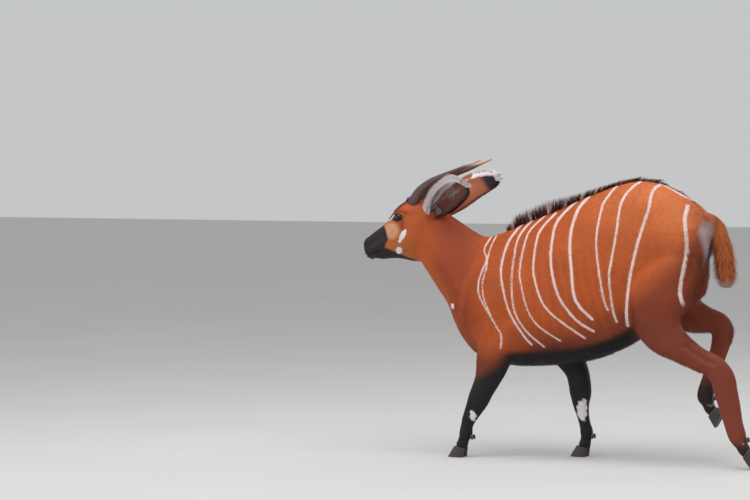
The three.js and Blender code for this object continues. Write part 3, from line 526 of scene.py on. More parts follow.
def limb_rings(rows, steps, sides, grow=0.0, squareness=2.15):
    """Rings square to a limb's line."""
    path = smooth_rows(rows, steps)
    angle = np.linspace(0, 2 * math.pi, sides, endpoint=False)
    c = signed_power(np.cos(angle), 2 / squareness)
    s = signed_power(np.sin(angle), 2 / squareness)
    rings = []
    for i, here in enumerate(path):
        along = unit(path[min(len(path) - 1, i + 1)][:3] - path[max(0, i - 1)][:3])
        side = unit(np.array([0.0, 1, 0]) - along * along[1])
        front = np.cross(side, along)
        rings.append(here[:3] + np.outer(c * (here[3] + grow), front)
                     + np.outer(s * (here[4] + grow), side))
    return np.array(rings)


def ball_rings(centre, reach, line, sides=20, steps=12):
    """Rings of an egg along a line, as a simple solid root for an ear."""
    line = unit(line)
    side = unit(np.cross(line, [0, 0, 1.0]))
    up = np.cross(side, line)
    angle = np.linspace(0, 2 * math.pi, sides, endpoint=False)
    rings = []
    for t in np.linspace(0.02, 0.98, steps):
        radius = math.sin(t * math.pi)
        rings.append(np.array(centre) - line * reach[0] * math.cos(t * math.pi)
                     + np.outer(np.cos(angle) * radius * reach[1], side)
                     + np.outer(np.sin(angle) * radius * reach[2], up))
    return np.array(rings)


def link(name, data):
    """A new object in the scene."""
    obj = bpy.data.objects.new(name, data)
    bpy.context.scene.collection.objects.link(obj)
    return obj


def new_object(name, mm, faces):
    """A mesh from points in the tables' millimetres, with its faces turned outwards."""
    mesh = bpy.data.meshes.new(name)
    mesh.from_pydata([tuple(p) for p in mm * 0.001 + ORIGIN], [], faces)
    mesh.validate()
    mesh.update()
    work = bmesh.new()
    work.from_mesh(mesh)
    bmesh.ops.recalc_face_normals(work, faces=work.faces)
    work.to_mesh(mesh)
    work.free()
    return link(name, mesh)


def tube_faces(count, sides):
    """Four-sided faces between rings of points."""
    faces = []
    for i in range(count - 1):
        for k in range(sides):
            a, b = i * sides + k, i * sides + (k + 1) % sides
            faces.append((a, b, b + sides, a + sides))
    return faces


def loft(name, rings):
    """A closed body through rings given in the tables' millimetres."""
    count, sides = rings.shape[:2]
    faces = tube_faces(count, sides)
    faces.append(tuple(range(sides))[::-1])
    faces.append(tuple(range((count - 1) * sides, count * sides)))
    return new_object(name, rings.reshape(-1, 3), faces)


def select_only(*objs):
    """Selects these objects and nothing else."""
    bpy.ops.object.select_all(action="DESELECT")
    for obj in objs:
        obj.select_set(True)
    bpy.context.view_layer.objects.active = objs[0]


def apply_modifier(obj, kind, **values):
    """Adds a modifier with its values and applies it."""
    modifier = obj.modifiers.new(kind.title(), kind)
    for key, value in values.items():
        setattr(modifier, key, value)
    select_only(obj)
    bpy.ops.object.modifier_apply(modifier=modifier.name)


def coordinates(mesh):
    """A mesh's points in metres."""
    co = np.empty(len(mesh.vertices) * 3)
    mesh.vertices.foreach_get("co", co)
    return co.reshape(-1, 3)


def set_coordinates(mesh, co):
    """Moves a mesh's points to places in metres."""
    mesh.vertices.foreach_set("co", co.ravel())
    mesh.update()


def table_points(mesh):
    """A mesh's points in the tables' millimetres."""
    return (coordinates(mesh) - ORIGIN) * 1000


def set_table_points(mesh, mm):
    """Moves a mesh's points to places in the tables' millimetres."""
    set_coordinates(mesh, mm * 0.001 + ORIGIN)


def shade_smooth(mesh):
    """Shades every face smoothly."""
    mesh.polygons.foreach_set("use_smooth", np.ones(len(mesh.polygons), bool))


def normals_of(mesh):
    """The normal at each point."""
    values = np.empty(len(mesh.vertices) * 3)
    mesh.vertex_normals.foreach_get("vector", values)
    return values.reshape(-1, 3)


def line_distance(points, line):
    """Distance from each two-part point to a bent line."""
    best = np.full(len(points), 1e9)
    for a, b in zip(line[:-1], line[1:]):
        a, b = np.array(a, float), np.array(b, float)
        ab = b - a
        t = np.clip(((points - a) @ ab) / max(ab @ ab, 1e-9), 0, 1)
        best = np.minimum(best, np.linalg.norm(points - a - t[:, None] * ab, axis=1))
    return best


def camera_axes():
    """The camera's place and its forward, right and up directions."""
    place = np.array([CAMERA_AWAY * math.sin(CAMERA_TURN),
                      -CAMERA_AWAY * math.cos(CAMERA_TURN), CAMERA_HEIGHT])
    swing = math.atan((CAMERA_AXIS - FRAME_WIDE / 2) / CAMERA_PIXELS)
    azimuth = math.pi / 2 + CAMERA_TURN + swing
    pitch = (math.atan(CAMERA_HEIGHT / (CAMERA_AWAY * math.cos(swing)))
             - math.atan((GROUND_ROW - FRAME_HIGH / 2) / CAMERA_PIXELS))
    forward = np.array([math.cos(azimuth) * math.cos(pitch),
                        math.sin(azimuth) * math.cos(pitch), -math.sin(pitch)])
    right = unit(np.cross(forward, [0, 0, 1.0]))
    return place, forward, right, np.cross(right, forward)


def picture_points(mm):
    """Where points of the tables' frame fall in the picture. The far side is mirrored."""
    place, forward, right, up = camera_axes()
    p = np.array(mm) * 0.001
    p[:, 1] = -np.abs(p[:, 1])
    d = p - place
    depth = d @ forward
    return np.stack([FRAME_WIDE / 2 + CAMERA_PIXELS * (d @ right) / depth,
                     FRAME_HIGH / 2 - CAMERA_PIXELS * (d @ up) / depth], axis=1)


def low_line(x):
    """Height of the belly and breast at x."""
    rows = np.array(BODY_ROWS)
    return np.interp(x, rows[:, 2], rows[:, 3])


def top_line(x):
    """Height of the back and neck at x."""
    rows = np.array(BODY_ROWS)
    return np.interp(x, rows[:, 0], rows[:, 1])


def limb_share(mm):
    """How much each point belongs to the free part of a fore or hind leg."""
    x, z = mm[:, 0], mm[:, 2]
    fore = ramp(z, 600, 440) * (x < 60)
    hind = ramp(z, 760, 560) * (x >= 60) * ramp(x, 180, 260)
    return fore, hind


def tail_share(mm):
    """How much each point belongs to the free part of the tail."""
    path = smooth_rows(TAIL_ROWS, 3)
    near = line_distance(mm[:, [0, 2]], [tuple(p) for p in path[5:, [0, 2]]])
    return ramp(near, 62, 42) * (np.abs(mm[:, 1]) < 60) * ramp(mm[:, 0], 525, 560)


# Markings and hair

def body_fields(mm, normals):
    """Where points lie on the body, by name, for the layers of colour and hair."""
    x, y, z = mm[:, 0], mm[:, 1], mm[:, 2]
    fore, hind = limb_share(mm)
    face = ramp(x, -850, -900)
    return {
        "x": x, "y": y, "z": z, "aside": np.abs(y), "foreleg": fore, "hindleg": hind,
        "leg": np.maximum(fore, hind), "tail": tail_share(mm), "face": face,
        "neck": ramp(x, -480, -640) * (1 - face), "faces_down": -normals[:, 2],
        "faces_back": normals[:, 0], "faces_out": normals[:, 1] * np.sign(y),
        "under_spine": top_line(x) - z, "over_belly": z - low_line(x),
    }


def picture_fields(mm, field):
    """Adds where points fall in the picture and on the parts that have their own colour."""
    x, z, fore, hind, tail = (field[key] for key in ("x", "z", "foreleg", "hindleg", "tail"))
    at = picture_points(mm)
    u, v = at[:, 0], at[:, 1]
    near = field["y"] < 0
    slant = z - 0.5 * (x + 495)
    black_fore = fore * np.where(near, ramp(slant, 455, 365), ramp(z, 560, 480))
    inner = ramp(-field["faces_out"], 0.1, 0.5) * fore * ramp(z, 520, 420)
    jaw_half = np.interp(u, [380, 415], [6.5, 2.0])
    field.update({
        "at": at, "across": u, "down": v, "head": ramp(x, -845, -885),
        "neck_tone": ramp(x, -470, -640) * (1 - 0.8 * ramp(x, -720, -850)),
        "from_cheek": np.hypot((u - CHEEK[0]) / CHEEK_REACH[0], (v - CHEEK[1]) / CHEEK_REACH[1]),
        "from_forehead": line_distance(at, FOREHEAD),
        "from_eye": np.hypot((u - EYE_RING[0]) / EYE_RING_REACH[0],
                             (v - EYE_RING[1]) / EYE_RING_REACH[1]),
        "from_streak": line_distance(at, EYE_STREAK),
        "in_muzzle": along_table(v, MUZZLE_EDGE) - u,
        "from_jaw_band": line_distance(at, JAW_BAND) - jaw_half,
        "trunk": (1 - hind) * (1 - tail),
        "black_foreleg": np.maximum(black_fore, inner * 0.9),
        "black_hindleg": hind * np.where(near, ramp(z, 130, 96), ramp(z, 430, 330)),
        "in_patch": u - along_table(v, PATCH_EDGE),
        "buttock": (x > 380) * (1 - tail),
        "cleft": (x > 400) * (1 - tail) * (field["faces_back"] > 0.2),
    })


def stripe_edges(field):
    """Signed distance to the nearest white stripe in picture points, below 0 inside."""
    at, x, z = field["at"], field["x"], field["z"]
    stripe = np.full(len(x), NO_MARK)
    for line, half in STRIPES:
        stripe = np.minimum(stripe, line_distance(at, smooth_rows(line, 3)) - half)
    stripe += 0.9 * ramp(-field["faces_out"], -0.35, -0.1)
    unseen = (field["faces_out"] < -0.15) | ((field["faces_back"] > 0.7) & (z < 1000))
    elsewhere = (z < 470) | (field["tail"] > 0.5) | (x < -560)
    return np.where((unseen | elsewhere) & (field["under_spine"] > 30), NO_MARK, stripe)


def pale_edges(mm, field):
    """Signed distance to the pale marks of the face, breast and feet."""
    x, z = field["x"], field["z"]
    pale = np.full(len(x), NO_MARK)
    for line, half in PALE_LINES:
        pale = np.minimum(pale, line_distance(field["at"], line) - half)
    band = line_distance(np.stack([x, field["aside"], z], axis=1), CHEVRON)
    pale = np.minimum(pale, (band - CHEVRON_HALF) / PICTURE_POINT_MM)
    breast = (x < -600) & (z > 600)
    pale = np.where((x > NECK_END) & ~breast, NO_MARK, pale)
    ragged = 0.14 * np.sin(z * 0.19 + x * 0.15) + 0.08 * np.sin(z * 0.47 - x * 0.4)
    for centre, reach in GARTERS:
        d = np.linalg.norm((mm - np.array(centre)) / np.array(reach), axis=1)
        pale = np.minimum(pale, (d + ragged - 1) * 4)
    return pale


def markings(mm, normals):
    """Colour of the coat and the signed edges of its stripes and pale spots."""
    field = body_fields(mm, normals)
    picture_fields(mm, field)
    x, z = field["x"], field["z"]
    colour = np.tile(np.array(COLOURS["flank"]), (len(mm), 1))
    colour = blend_layers(colour, COAT_LAYERS, field)
    wave = np.sin(x * 0.021 + 2 * np.sin(z * 0.017)) * 0.5 + np.sin(z * 0.034 + x * 0.008) * 0.5
    colour *= (1 + 0.07 * wave)[:, None]
    colour = blend_layers(colour, HEAD_LAYERS + BODY_LAYERS, field)
    return colour, stripe_edges(field), pale_edges(mm, field)


def lie_of(field, normals):
    """Direction in which the hair lies at each point."""
    lie = np.tile(TRUNK_LIE, (len(normals), 1))
    return lay_flat(blend_layers(lie, LIE_LAYERS, field), normals)


def hair_length(field):
    """Length of the coat in millimetres, with longer hair under the belly and behind."""
    x, z = field["x"], field["z"]
    length = blend_layers(np.full((len(x), 1), TRUNK_HAIR), LENGTH_LAYERS, field)[:, 0]
    length += BELLY_HAIR * ramp(field["faces_down"], 0.3, 0.9) * ramp(x, -620, -450) * (z > 400)
    length += BUTTOCK_HAIR * ramp(field["faces_back"], 0.3, 0.8) * ramp(x, 380, 480) * (z > 560)
    return length


def turn_share(a, b):
    """A direction round a middle line as a share of a full turn."""
    return np.arctan2(a, b) / (2 * math.pi) + 0.5


def unwrap(mm):
    """A place on a flat sheet for each point: bands round the trunk, head, legs and tail."""
    x, y, z = mm[:, 0], mm[:, 1], mm[:, 2]
    turn = turn_share(y, z - (top_line(x) + low_line(x)) / 2)
    place = np.stack([0.01 + (x + 900) / 1450 * 0.58, 0.01 + turn * 0.46], axis=1)
    head = x < -860
    turn = turn_share(y, z - 1030)
    place[head] = np.stack([0.62 + (x + 1180) / 340 * 0.2, 0.01 + turn * 0.46], axis=1)[head]
    fore, hind = limb_share(mm)
    for index, (name, rows) in enumerate(LEG_ROWS.items()):
        table = np.array(rows, float)[::-1]
        centre_x = np.interp(z, table[:, 2], table[:, 0])
        centre_y = np.interp(z, table[:, 2], table[:, 1])
        turn = turn_share(y - centre_y, x - centre_x)
        share = fore if name.startswith("fore") else hind
        mine = (share > 0.3) & (np.sign(y) == np.sign(centre_y))
        spot = np.stack([0.01 + index * 0.2 + turn * 0.18, 0.52 + z / 800 * 0.44], axis=1)
        place[mine] = spot[mine]
    tail = tail_share(mm) > 0.5
    spot = np.stack([0.83 + (y + 60) / 120 * 0.14, 0.02 + (z - 800) / 340 * 0.4], axis=1)
    place[tail] = spot[tail]
    return np.clip(place, 0.003, 0.997)


def store(mesh, name, values):
    """Keeps one number or one colour for each point of a mesh."""
    values = np.asarray(values, np.float32)
    if values.ndim == 2:
        layer = mesh.attributes.new(name, "FLOAT_COLOR", "POINT")
        full = np.ones((len(values), 4), np.float32)
        full[:, :3] = values
        layer.data.foreach_set("color", full.ravel())
    else:
        mesh.attributes.new(name, "FLOAT", "POINT").data.foreach_set("value", values)


def tuft_points(roots, side, forward, lift, lengths, widths, sway, segments, curl, flat):
    """Points of bent three-sided tufts: rings of three from the root, then the tip."""
    per = 3 * segments + 1
    points = np.empty((len(roots), per, 3))
    for i in range(segments):
        t = i / segments
        taper = (1 - t ** TUFT_TAPER) * widths * 0.5
        spine = (roots + forward * (lengths * t)[:, None]
                 + lift * (curl * lengths * t * t)[:, None]
                 + side * (sway * lengths * t * t)[:, None])
        wide, high = side * taper[:, None], lift * (taper * flat)[:, None]
        points[:, 3 * i] = spine - wide - high * TUFT_UNDERSIDE
        points[:, 3 * i + 1] = spine + wide - high * TUFT_UNDERSIDE
        points[:, 3 * i + 2] = spine + high
    points[:, per - 1] = (roots + forward * lengths[:, None] + lift * (curl * lengths)[:, None]
                          + side * (sway * lengths)[:, None])
    return points


def tuft_faces(segments):
    """Triangles of one tuft, open at the root, which lies in the skin."""
    faces = []
    for i in range(segments - 1):
        for k in range(3):
            a, b = 3 * i + k, 3 * i + (k + 1) % 3
            faces += [(a, b, b + 3), (a, b + 3, a + 3)]
    top = 3 * (segments - 1)
    for k in range(3):
        faces.append((top + k, top + (k + 1) % 3, top + 3))
    return np.array(faces)


def tuft_sheet(per):
    """Where a tuft's points lie round its place on the flat sheet, with the tip in the middle."""
    sheet = np.zeros((per, 2))
    for j in range(per - 1):
        spin = 2.1 * (j % 3) + 0.7 * (j // 3)
        sheet[j] = (math.cos(spin) * TUFT_ON_SHEET, math.sin(spin) * TUFT_ON_SHEET)
    return sheet


def make_tufts(name, roots, normals, lies, lengths, widths, rise, marks, places, seed,
               segments=1, curl=0.0, flat=0.3, side_curl=0.0):
    """Thin three-sided tufts as one mesh. Sizes are in millimetres, the rise in radians, and
    marks holds each tuft's colour, stripe and pale values."""
    random = np.random.default_rng(seed)
    count, per = len(roots), 3 * segments + 1
    cos, sin = (f(rise * np.ones(count))[:, None] for f in (np.cos, np.sin))
    forward = lies * cos + normals * sin
    lift = normals * cos - lies * sin
    sway = random.uniform(-1, 1, count) * side_curl
    points = tuft_points(roots, unit(np.cross(lies, normals)), forward, lift, lengths, widths,
                         sway, segments, curl, flat)
    first = (np.arange(count) * per)[:, None, None]
    faces = (tuft_faces(segments)[None] + first).reshape(-1, 3)

    mesh = bpy.data.meshes.new(name)
    mesh.vertices.add(count * per)
    mesh.loops.add(len(faces) * 3)
    mesh.polygons.add(len(faces))
    mesh.vertices.foreach_set("co", (points * 0.001 + ORIGIN).ravel())
    mesh.loops.foreach_set("vertex_index", faces.ravel().astype(np.int32))
    mesh.polygons.foreach_set("loop_start", np.arange(len(faces), dtype=np.int32) * 3)
    mesh.polygons.foreach_set("use_smooth", np.zeros(len(faces), bool))
    mesh.update(calc_edges=True)
    shade = random.uniform(0, 1, count)
    for field, values in zip(("tone", "stripe", "pale", "shade"), (*marks, shade)):
        store(mesh, field, np.repeat(values, per, axis=0))
    sheet = (places[:, None] + tuft_sheet(per)[None]).reshape(-1, 2)
    layer = mesh.uv_layers.new(name="OFBake")
    layer.data.foreach_set("uv", sheet[faces.ravel()].astype(np.float32).ravel())
    mesh.materials.append(coat_material())
    return link(name, mesh)


def scatter(count, density, seed):
    """Random places on the skin: points in millimetres and their normals."""
    random = np.random.default_rng(seed)
    triangles, mm, normals = SKIN["triangles"], SKIN["mm"], SKIN["normals"]
    a, b, c = mm[triangles[:, 0]], mm[triangles[:, 1]], mm[triangles[:, 2]]
    area = np.linalg.norm(np.cross(b - a, c - a), axis=1)
    weight = area * density(mm[triangles].mean(axis=1))
    weight = weight * (1 - SKIN["bare"][triangles].max(axis=1))
    pick = random.choice(len(triangles), count, p=weight / weight.sum())
    s, t = random.uniform(0, 1, count), random.uniform(0, 1, count)
    over = s + t > 1
    s, t = np.where(over, 1 - s, s), np.where(over, 1 - t, t)
    shares = np.stack([1 - s - t, s, t], axis=1)[..., None]
    points = (mm[triangles[pick]] * shares).sum(axis=1)
    return points, unit((normals[triangles[pick]] * shares).sum(axis=1))


# Materials

def node_of(tree, kind, **values):
    """A new node with its settings."""
    node = tree.nodes.new(kind)
    for key, value in values.items():
        setattr(node, key, value)
    return node


def feed(tree, socket, value):
    """Links a socket to another one, or sets it to a number or a colour."""
    if isinstance(value, bpy.types.NodeSocket):
        tree.links.new(value, socket)
    elif isinstance(value, (int, float)):
        socket.default_value = value
    else:
        socket.default_value = (*value, 1)


def number(tree, operation, a, b=0.0, clamp=False):
    """A sum, product or other simple operation on values."""
    node = node_of(tree, "ShaderNodeMath", operation=operation, use_clamp=clamp)
    feed(tree, node.inputs[0], a)
    feed(tree, node.inputs[1], b)
    return node.outputs[0]


def scaled(tree, value, factor, added=0.0):
    """A value times a factor, plus a number or another value."""
    return number(tree, "ADD", number(tree, "MULTIPLY", value, factor), added)


def mix_colour(tree, share, a, b, kind="MIX"):
    """Two colours, each given or linked, blended by a share."""
    node = node_of(tree, "ShaderNodeMix", data_type="RGBA", blend_type=kind)
    for socket, value in ((node.inputs[0], share), (node.inputs[6], a), (node.inputs[7], b)):
        feed(tree, socket, value)
    return node.outputs[2]


def map_range(tree, value, start, end, low=0.0, high=1.0, kind="LINEAR"):
    """A value between start and end, carried over to low and high."""
    node = node_of(tree, "ShaderNodeMapRange", interpolation_type=kind)
    for name, limit in (("From Min", start), ("From Max", end), ("To Min", low),
                        ("To Max", high)):
        node.inputs[name].default_value = limit
    tree.links.new(value, node.inputs["Value"])
    return node.outputs[0]


def attribute(tree, name, output="Fac"):
    """A value or colour stored on the points."""
    return node_of(tree, "ShaderNodeAttribute", attribute_name=name).outputs[output]


def grain_group():
    """Noise on the object's coordinates, shared by every material."""
    group = bpy.data.node_groups.get("grain")
    if group:
        return group
    group = bpy.data.node_groups.new("grain", "ShaderNodeTree")
    for name, kind, default in (("Stretch", "NodeSocketVector", (1, 1, 1)),
                                ("Scale", "NodeSocketFloat", 60), ("Detail", "NodeSocketFloat", 2)):
        socket = group.interface.new_socket(name=name, in_out="INPUT", socket_type=kind)
        socket.default_value = default
    group.interface.new_socket(name="Value", in_out="OUTPUT", socket_type="NodeSocketFloat")
    given = node_of(group, "NodeGroupInput").outputs
    place = node_of(group, "ShaderNodeTexCoord").outputs["Object"]
    mapping = node_of(group, "ShaderNodeMapping")
    cloud = node_of(group, "ShaderNodeTexNoise")
    result = node_of(group, "NodeGroupOutput")
    for source, target in ((place, mapping.inputs["Vector"]),
                           (given["Stretch"], mapping.inputs["Scale"]),
                           (mapping.outputs[0], cloud.inputs["Vector"]),
                           (given["Scale"], cloud.inputs["Scale"]),
                           (given["Detail"], cloud.inputs["Detail"]),
                           (cloud.outputs[0], result.inputs["Value"])):
        group.links.new(source, target)
    return group


def grain(tree, scale, detail=2.0, stretch=(1, 1, 1)):
    """The shared noise with this material's own values."""
    node = node_of(tree, "ShaderNodeGroup", node_tree=grain_group())
    for name, value in (("Stretch", stretch), ("Scale", scale), ("Detail", detail)):
        node.inputs[name].default_value = value
    return node.outputs["Value"]


def edge_mask(tree, name, fray, soft):
    """1 inside a stored signed edge that is frayed by noise."""
    frayed = number(tree, "ADD", attribute(tree, name), fray)
    return map_range(tree, frayed, soft, -soft, kind="SMOOTHSTEP")


def new_material(name, rough=0.5):
    """A material and its shader, with a plain roughness until something varies it."""
    material = bpy.data.materials.new(name)
    material.use_nodes = True
    shader = material.node_tree.nodes["Principled BSDF"]
    shader.inputs["Roughness"].default_value = rough
    return material, material.node_tree, shader


def connect(tree, shader, colour, rough=None, height=None, distance=0.003, strength=0.5):
    """Feeds the colour, roughness and bump of a shader."""
    tree.links.new(colour, shader.inputs["Base Color"])
    if rough:
        tree.links.new(rough, shader.inputs["Roughness"])
    if height:
        bump = node_of(tree, "ShaderNodeBump")
        bump.inputs["Strength"].default_value = strength
        bump.inputs["Distance"].default_value = distance
        tree.links.new(height, bump.inputs["Height"])
        tree.links.new(bump.outputs[0], shader.inputs["Normal"])


def coat_material():
    """Hair: the stored colour under frayed stripes, with darker and lighter strands."""
    material = bpy.data.materials.get("coat")
    if material:
        return material
    settings = bpy.context.scene.bongo_coat
    material, tree, shader = new_material("coat")
    fray = number(tree, "MULTIPLY", number(tree, "SUBTRACT", grain(tree, 260), 0.5), 1.1)
    colour = mix_colour(tree, edge_mask(tree, "stripe", fray, 0.35),
                        attribute(tree, "tone", "Color"), tuple(settings.stripe))
    colour = mix_colour(tree, edge_mask(tree, "pale", fray, 0.6), colour, tuple(settings.white))
    strand = grain(tree, 30, 3.0, (6, 30, 22))
    shade = number(tree, "MULTIPLY", attribute(tree, "shade"), 0.10)
    level = map_range(tree, scaled(tree, strand, 0.4, shade), 0.13, 0.42, 0.74, 1.22)
    colour = mix_colour(tree, 1.0, colour, level, "MULTIPLY")
    rough = number(tree, "SUBTRACT", 0.55, number(tree, "MULTIPLY", attribute(tree, "wet"), 0.3))
    shader.inputs["Specular IOR Level"].default_value = 0.28
    connect(tree, shader, colour, rough, strand, strength=0.2)
    return material


def eye_material():
    """A dark brown iris round a wide pupil, under a clear coat."""
    material, tree, shader = new_material("eye_gloss", rough=0.12)
    ring = map_range(tree, attribute(tree, "iris"), 0.9, 1.1, kind="SMOOTHSTEP")
    brown = mix_colour(tree, grain(tree, 900), COLOURS["iris_dark"], COLOURS["iris"])
    connect(tree, shader, mix_colour(tree, ring, COLOURS["pupil"], brown))
    shader.inputs["Specular IOR Level"].default_value = 0.3
    shader.inputs["Coat Weight"].default_value = 0.5
    shader.inputs["Coat Roughness"].default_value = 0.02
    return material


def horn_material():
    """Grained horn with rings that fade out halfway to the tip."""
    material, tree, shader = new_material("horn_keratin")
    along = attribute(tree, "along")
    uneven = number(tree, "MULTIPLY", grain(tree, 30), 7.0)
    rings = number(tree, "SINE", scaled(tree, along, 190.0, uneven))
    rings = number(tree, "MULTIPLY", rings, map_range(tree, along, 0.55, 0.1))
    strand = grain(tree, 90, 4.0, (3, 9, 9))
    share = number(tree, "MULTIPLY", strand, 0.9, clamp=True)
    dark = mix_colour(tree, share, HORN_GRAIN_DARK, HORN_GRAIN_LIGHT)
    colour = mix_colour(tree, 1.0, attribute(tree, "tone", "Color"), dark, "MULTIPLY")
    connect(tree, shader, colour, scaled(tree, strand, 0.25, 0.3), scaled(tree, rings, 0.4, strand))
    return material


def hoof_material():
    """Dark horn with upright grain and level bands."""
    material, tree, shader = new_material("hoof_keratin")
    strand = grain(tree, 60, 4.0, (8, 8, 1.5))
    bands = grain(tree, 40, 2.0, (1, 1, 6))
    colour = mix_colour(tree, strand, COLOURS["hoof_dark"], COLOURS["hoof_light"])
    connect(tree, shader, colour, scaled(tree, bands, 0.3, 0.3),
           number(tree, "ADD", strand, bands), distance=0.002)
    return material


def floor_material():
    """A pale matt floor with faint patches."""
    material, tree, shader = new_material("studio_floor", rough=0.8)
    colour = mix_colour(tree, grain(tree, 1.2), COLOURS["floor_dark"], COLOURS["floor_light"])
    connect(tree, shader, colour)
    return material


# Skin and coat

def refine(obj, wanted):
    """Divides the faces whose middle passes a test into four."""
    work = bmesh.new()
    work.from_mesh(obj.data)
    edges = set()
    for face in work.faces:
        if wanted((np.array(face.calc_center_median()) - ORIGIN) * 1000):
            edges.update(face.edges)
    bmesh.ops.subdivide_edges(work, edges=list(edges), cuts=1, use_grid_fill=True)
    work.to_mesh(obj.data)
    work.free()


def soften(mesh, weight, times, factor=0.5):
    """Moves each vertex towards the middle of its neighbours."""
    edges = np.empty(len(mesh.edges) * 2, np.int64)
    mesh.edges.foreach_get("vertices", edges)
    edges = edges.reshape(-1, 2)
    co = coordinates(mesh)
    degree = np.bincount(edges.ravel(), minlength=len(co))[:, None]
    for _ in range(times):
        total = np.zeros_like(co)
        for axis in range(3):
            total[:, axis] = (np.bincount(edges[:, 0], co[edges[:, 1], axis], len(co))
                              + np.bincount(edges[:, 1], co[edges[:, 0], axis], len(co)))
        co += (total / np.maximum(degree, 1) - co) * factor * weight[:, None]
    set_coordinates(mesh, co)


def eye_frame(side):
    """The eye's middle and its outward, forward and upward directions."""
    centre = np.array(EYE_CENTRE, float) * [1, side, 1]
    outward = unit(np.array(EYE_OUTWARD) * [1, side, 1])
    fore = np.array(EYE_FORWARD)
    fore = unit(fore - outward * (fore @ outward))
    up = np.cross(fore, outward)
    return centre, outward, fore, up * np.sign(up[2])


def push_folds(mm, normal):
    """Muscles, folds and ribs, as pushes along the skin's normals."""
    push = np.zeros(len(mm))
    sideways = ramp(np.abs(normal[:, 1]), 0.2, 0.6)
    outer = normal[:, 1] * np.sign(mm[:, 1]) > 0
    for line, width, amount, side in FOLDS:
        share = np.exp(-(line_distance(mm[:, [0, 2]], line) / width) ** 2) * sideways * outer
        if side:
            share = share * (np.sign(mm[:, 1]) == side)
        push += amount * share
    ribs = np.sin((mm[:, 0] + 0.25 * mm[:, 2]) / RIB_SPACING)
    area = ramp(mm[:, 0], -330, -230) * ramp(mm[:, 0], 170, 60)
    area = area * ramp(mm[:, 2], 560, 640) * ramp(mm[:, 2], 1000, 900)
    push += RIB_DEPTH * ribs * area * sideways
    mm += normal * (FOLD_STRENGTH * push)[:, None]


def sculpt_eye(mm, side, bare, wet):
    """The lids round one eye, the seat behind it and the crease above it."""
    centre, outward, fore, up = eye_frame(side)
    away = mm - centre
    a, b, c = away @ fore, away @ up, away @ outward
    slant = np.where(a > 0, 1 + 0.25 * ramp(a, 0, 20), 1)
    oval = np.hypot(a / EYE_OPENING[0], b * slant / EYE_OPENING[1])
    close = (c > -5) & (np.hypot(a, b) < 60)
    cover = np.sqrt(np.clip(EYE_RADIUS ** 2 - a ** 2 - b ** 2, 0, None))
    lid = ramp(np.abs(oval - 1.12), 0.34, 0) * close
    wanted = np.maximum(c, cover + 2.0)
    mm += outward * ((wanted - c) * ramp(oval, 2.0, 1.25) * close)[:, None]
    mm += outward * (LID_LIFT * lid * np.where(b > 0, 1.3, 0.9))[:, None]
    inside = ramp(oval, 1.0, 0.86) * close
    c = (mm - centre) @ outward
    mm += outward * ((np.minimum(c, cover - 5) - c) * inside)[:, None]
    crease = ramp(np.abs(oval - 1.75), 0.3, 0) * close * (b > -4)
    mm -= outward * (CREASE_DEPTH * crease)[:, None]
    np.maximum(bare, ramp(oval, 1.35, 1.15) * close, out=bare)
    np.maximum(wet, ramp(oval, 1.25, 1.0) * close, out=wet)


def sculpt_nostril(mm, side, bare, wet):
    """One slanted nostril with a raised rim."""
    turned = np.array([1, side, 1])
    slot = unit(np.array(NOSTRIL_SLOT) * turned)
    inward = np.array(NOSTRIL_INWARD) * turned
    inward = unit(inward - slot * (inward @ slot))
    across = np.cross(slot, inward)
    away = mm - np.array(NOSTRIL) * turned
    p, q, r = away @ slot, away @ across, away @ inward
    q = q - 0.03 * p * p * np.sign(across[2])
    oval = np.hypot(p / NOSTRIL_OPENING[0], q / NOSTRIL_OPENING[1])
    near = np.abs(r) < 22
    mm += inward * (NOSTRIL_DEPTH * ramp(oval, 1.0, 0.45) * near)[:, None]
    mm -= inward * (NOSTRIL_RIM * ramp(np.abs(oval - 1.35), 0.45, 0) * near)[:, None]
    np.maximum(bare, ramp(oval, 1.5, 1.2) * near, out=bare)
    np.maximum(wet, ramp(oval, 2.2, 1.4) * near, out=wet)


def sculpt_mouth(mm, normal, bare, wet):
    """The line of the mouth, the lips and the groove in the bare nose."""
    d = line_distance(mm[:, [0, 2]], MOUTH_LINE)
    groove = np.exp(-(d / 2.6) ** 2) * (mm[:, 0] < -1062) * (normal[:, 2] < 0.9)
    lip = np.exp(-((d - 6.5) / 4) ** 2) * (mm[:, 0] < -1070)
    mm -= normal * (MOUTH_DEPTH * groove - LIP_LIFT * lip)[:, None]
    np.maximum(bare, ramp(groove, 0.35, 0.7), out=bare)
    nose = ramp(mm[:, 0], -1150, -1160) * ramp(mm[:, 2], 945, 958)
    nose = nose * ramp(np.abs(mm[:, 1]), 34, 22)
    mm[:, 0] += NOSE_GROOVE * np.exp(-(mm[:, 1] / 1.8) ** 2) * nose
    np.maximum(bare, nose * 0.98, out=bare)
    np.maximum(wet, nose, out=wet)


def sculpt_skin(mesh):
    """Shapes the joined skin. Keeps where it is bare or wet."""
    mm = table_points(mesh)
    normal = normals_of(mesh)
    bare, wet = np.zeros(len(mm)), np.zeros(len(mm))
    push_folds(mm, normal)
    for side in (LEFT, RIGHT):
        sculpt_eye(mm, side, bare, wet)
        sculpt_nostril(mm, side, bare, wet)
    sculpt_mouth(mm, normal, bare, wet)
    set_table_points(mesh, mm)
    SKIN["bare"], SKIN["wet"] = bare, wet


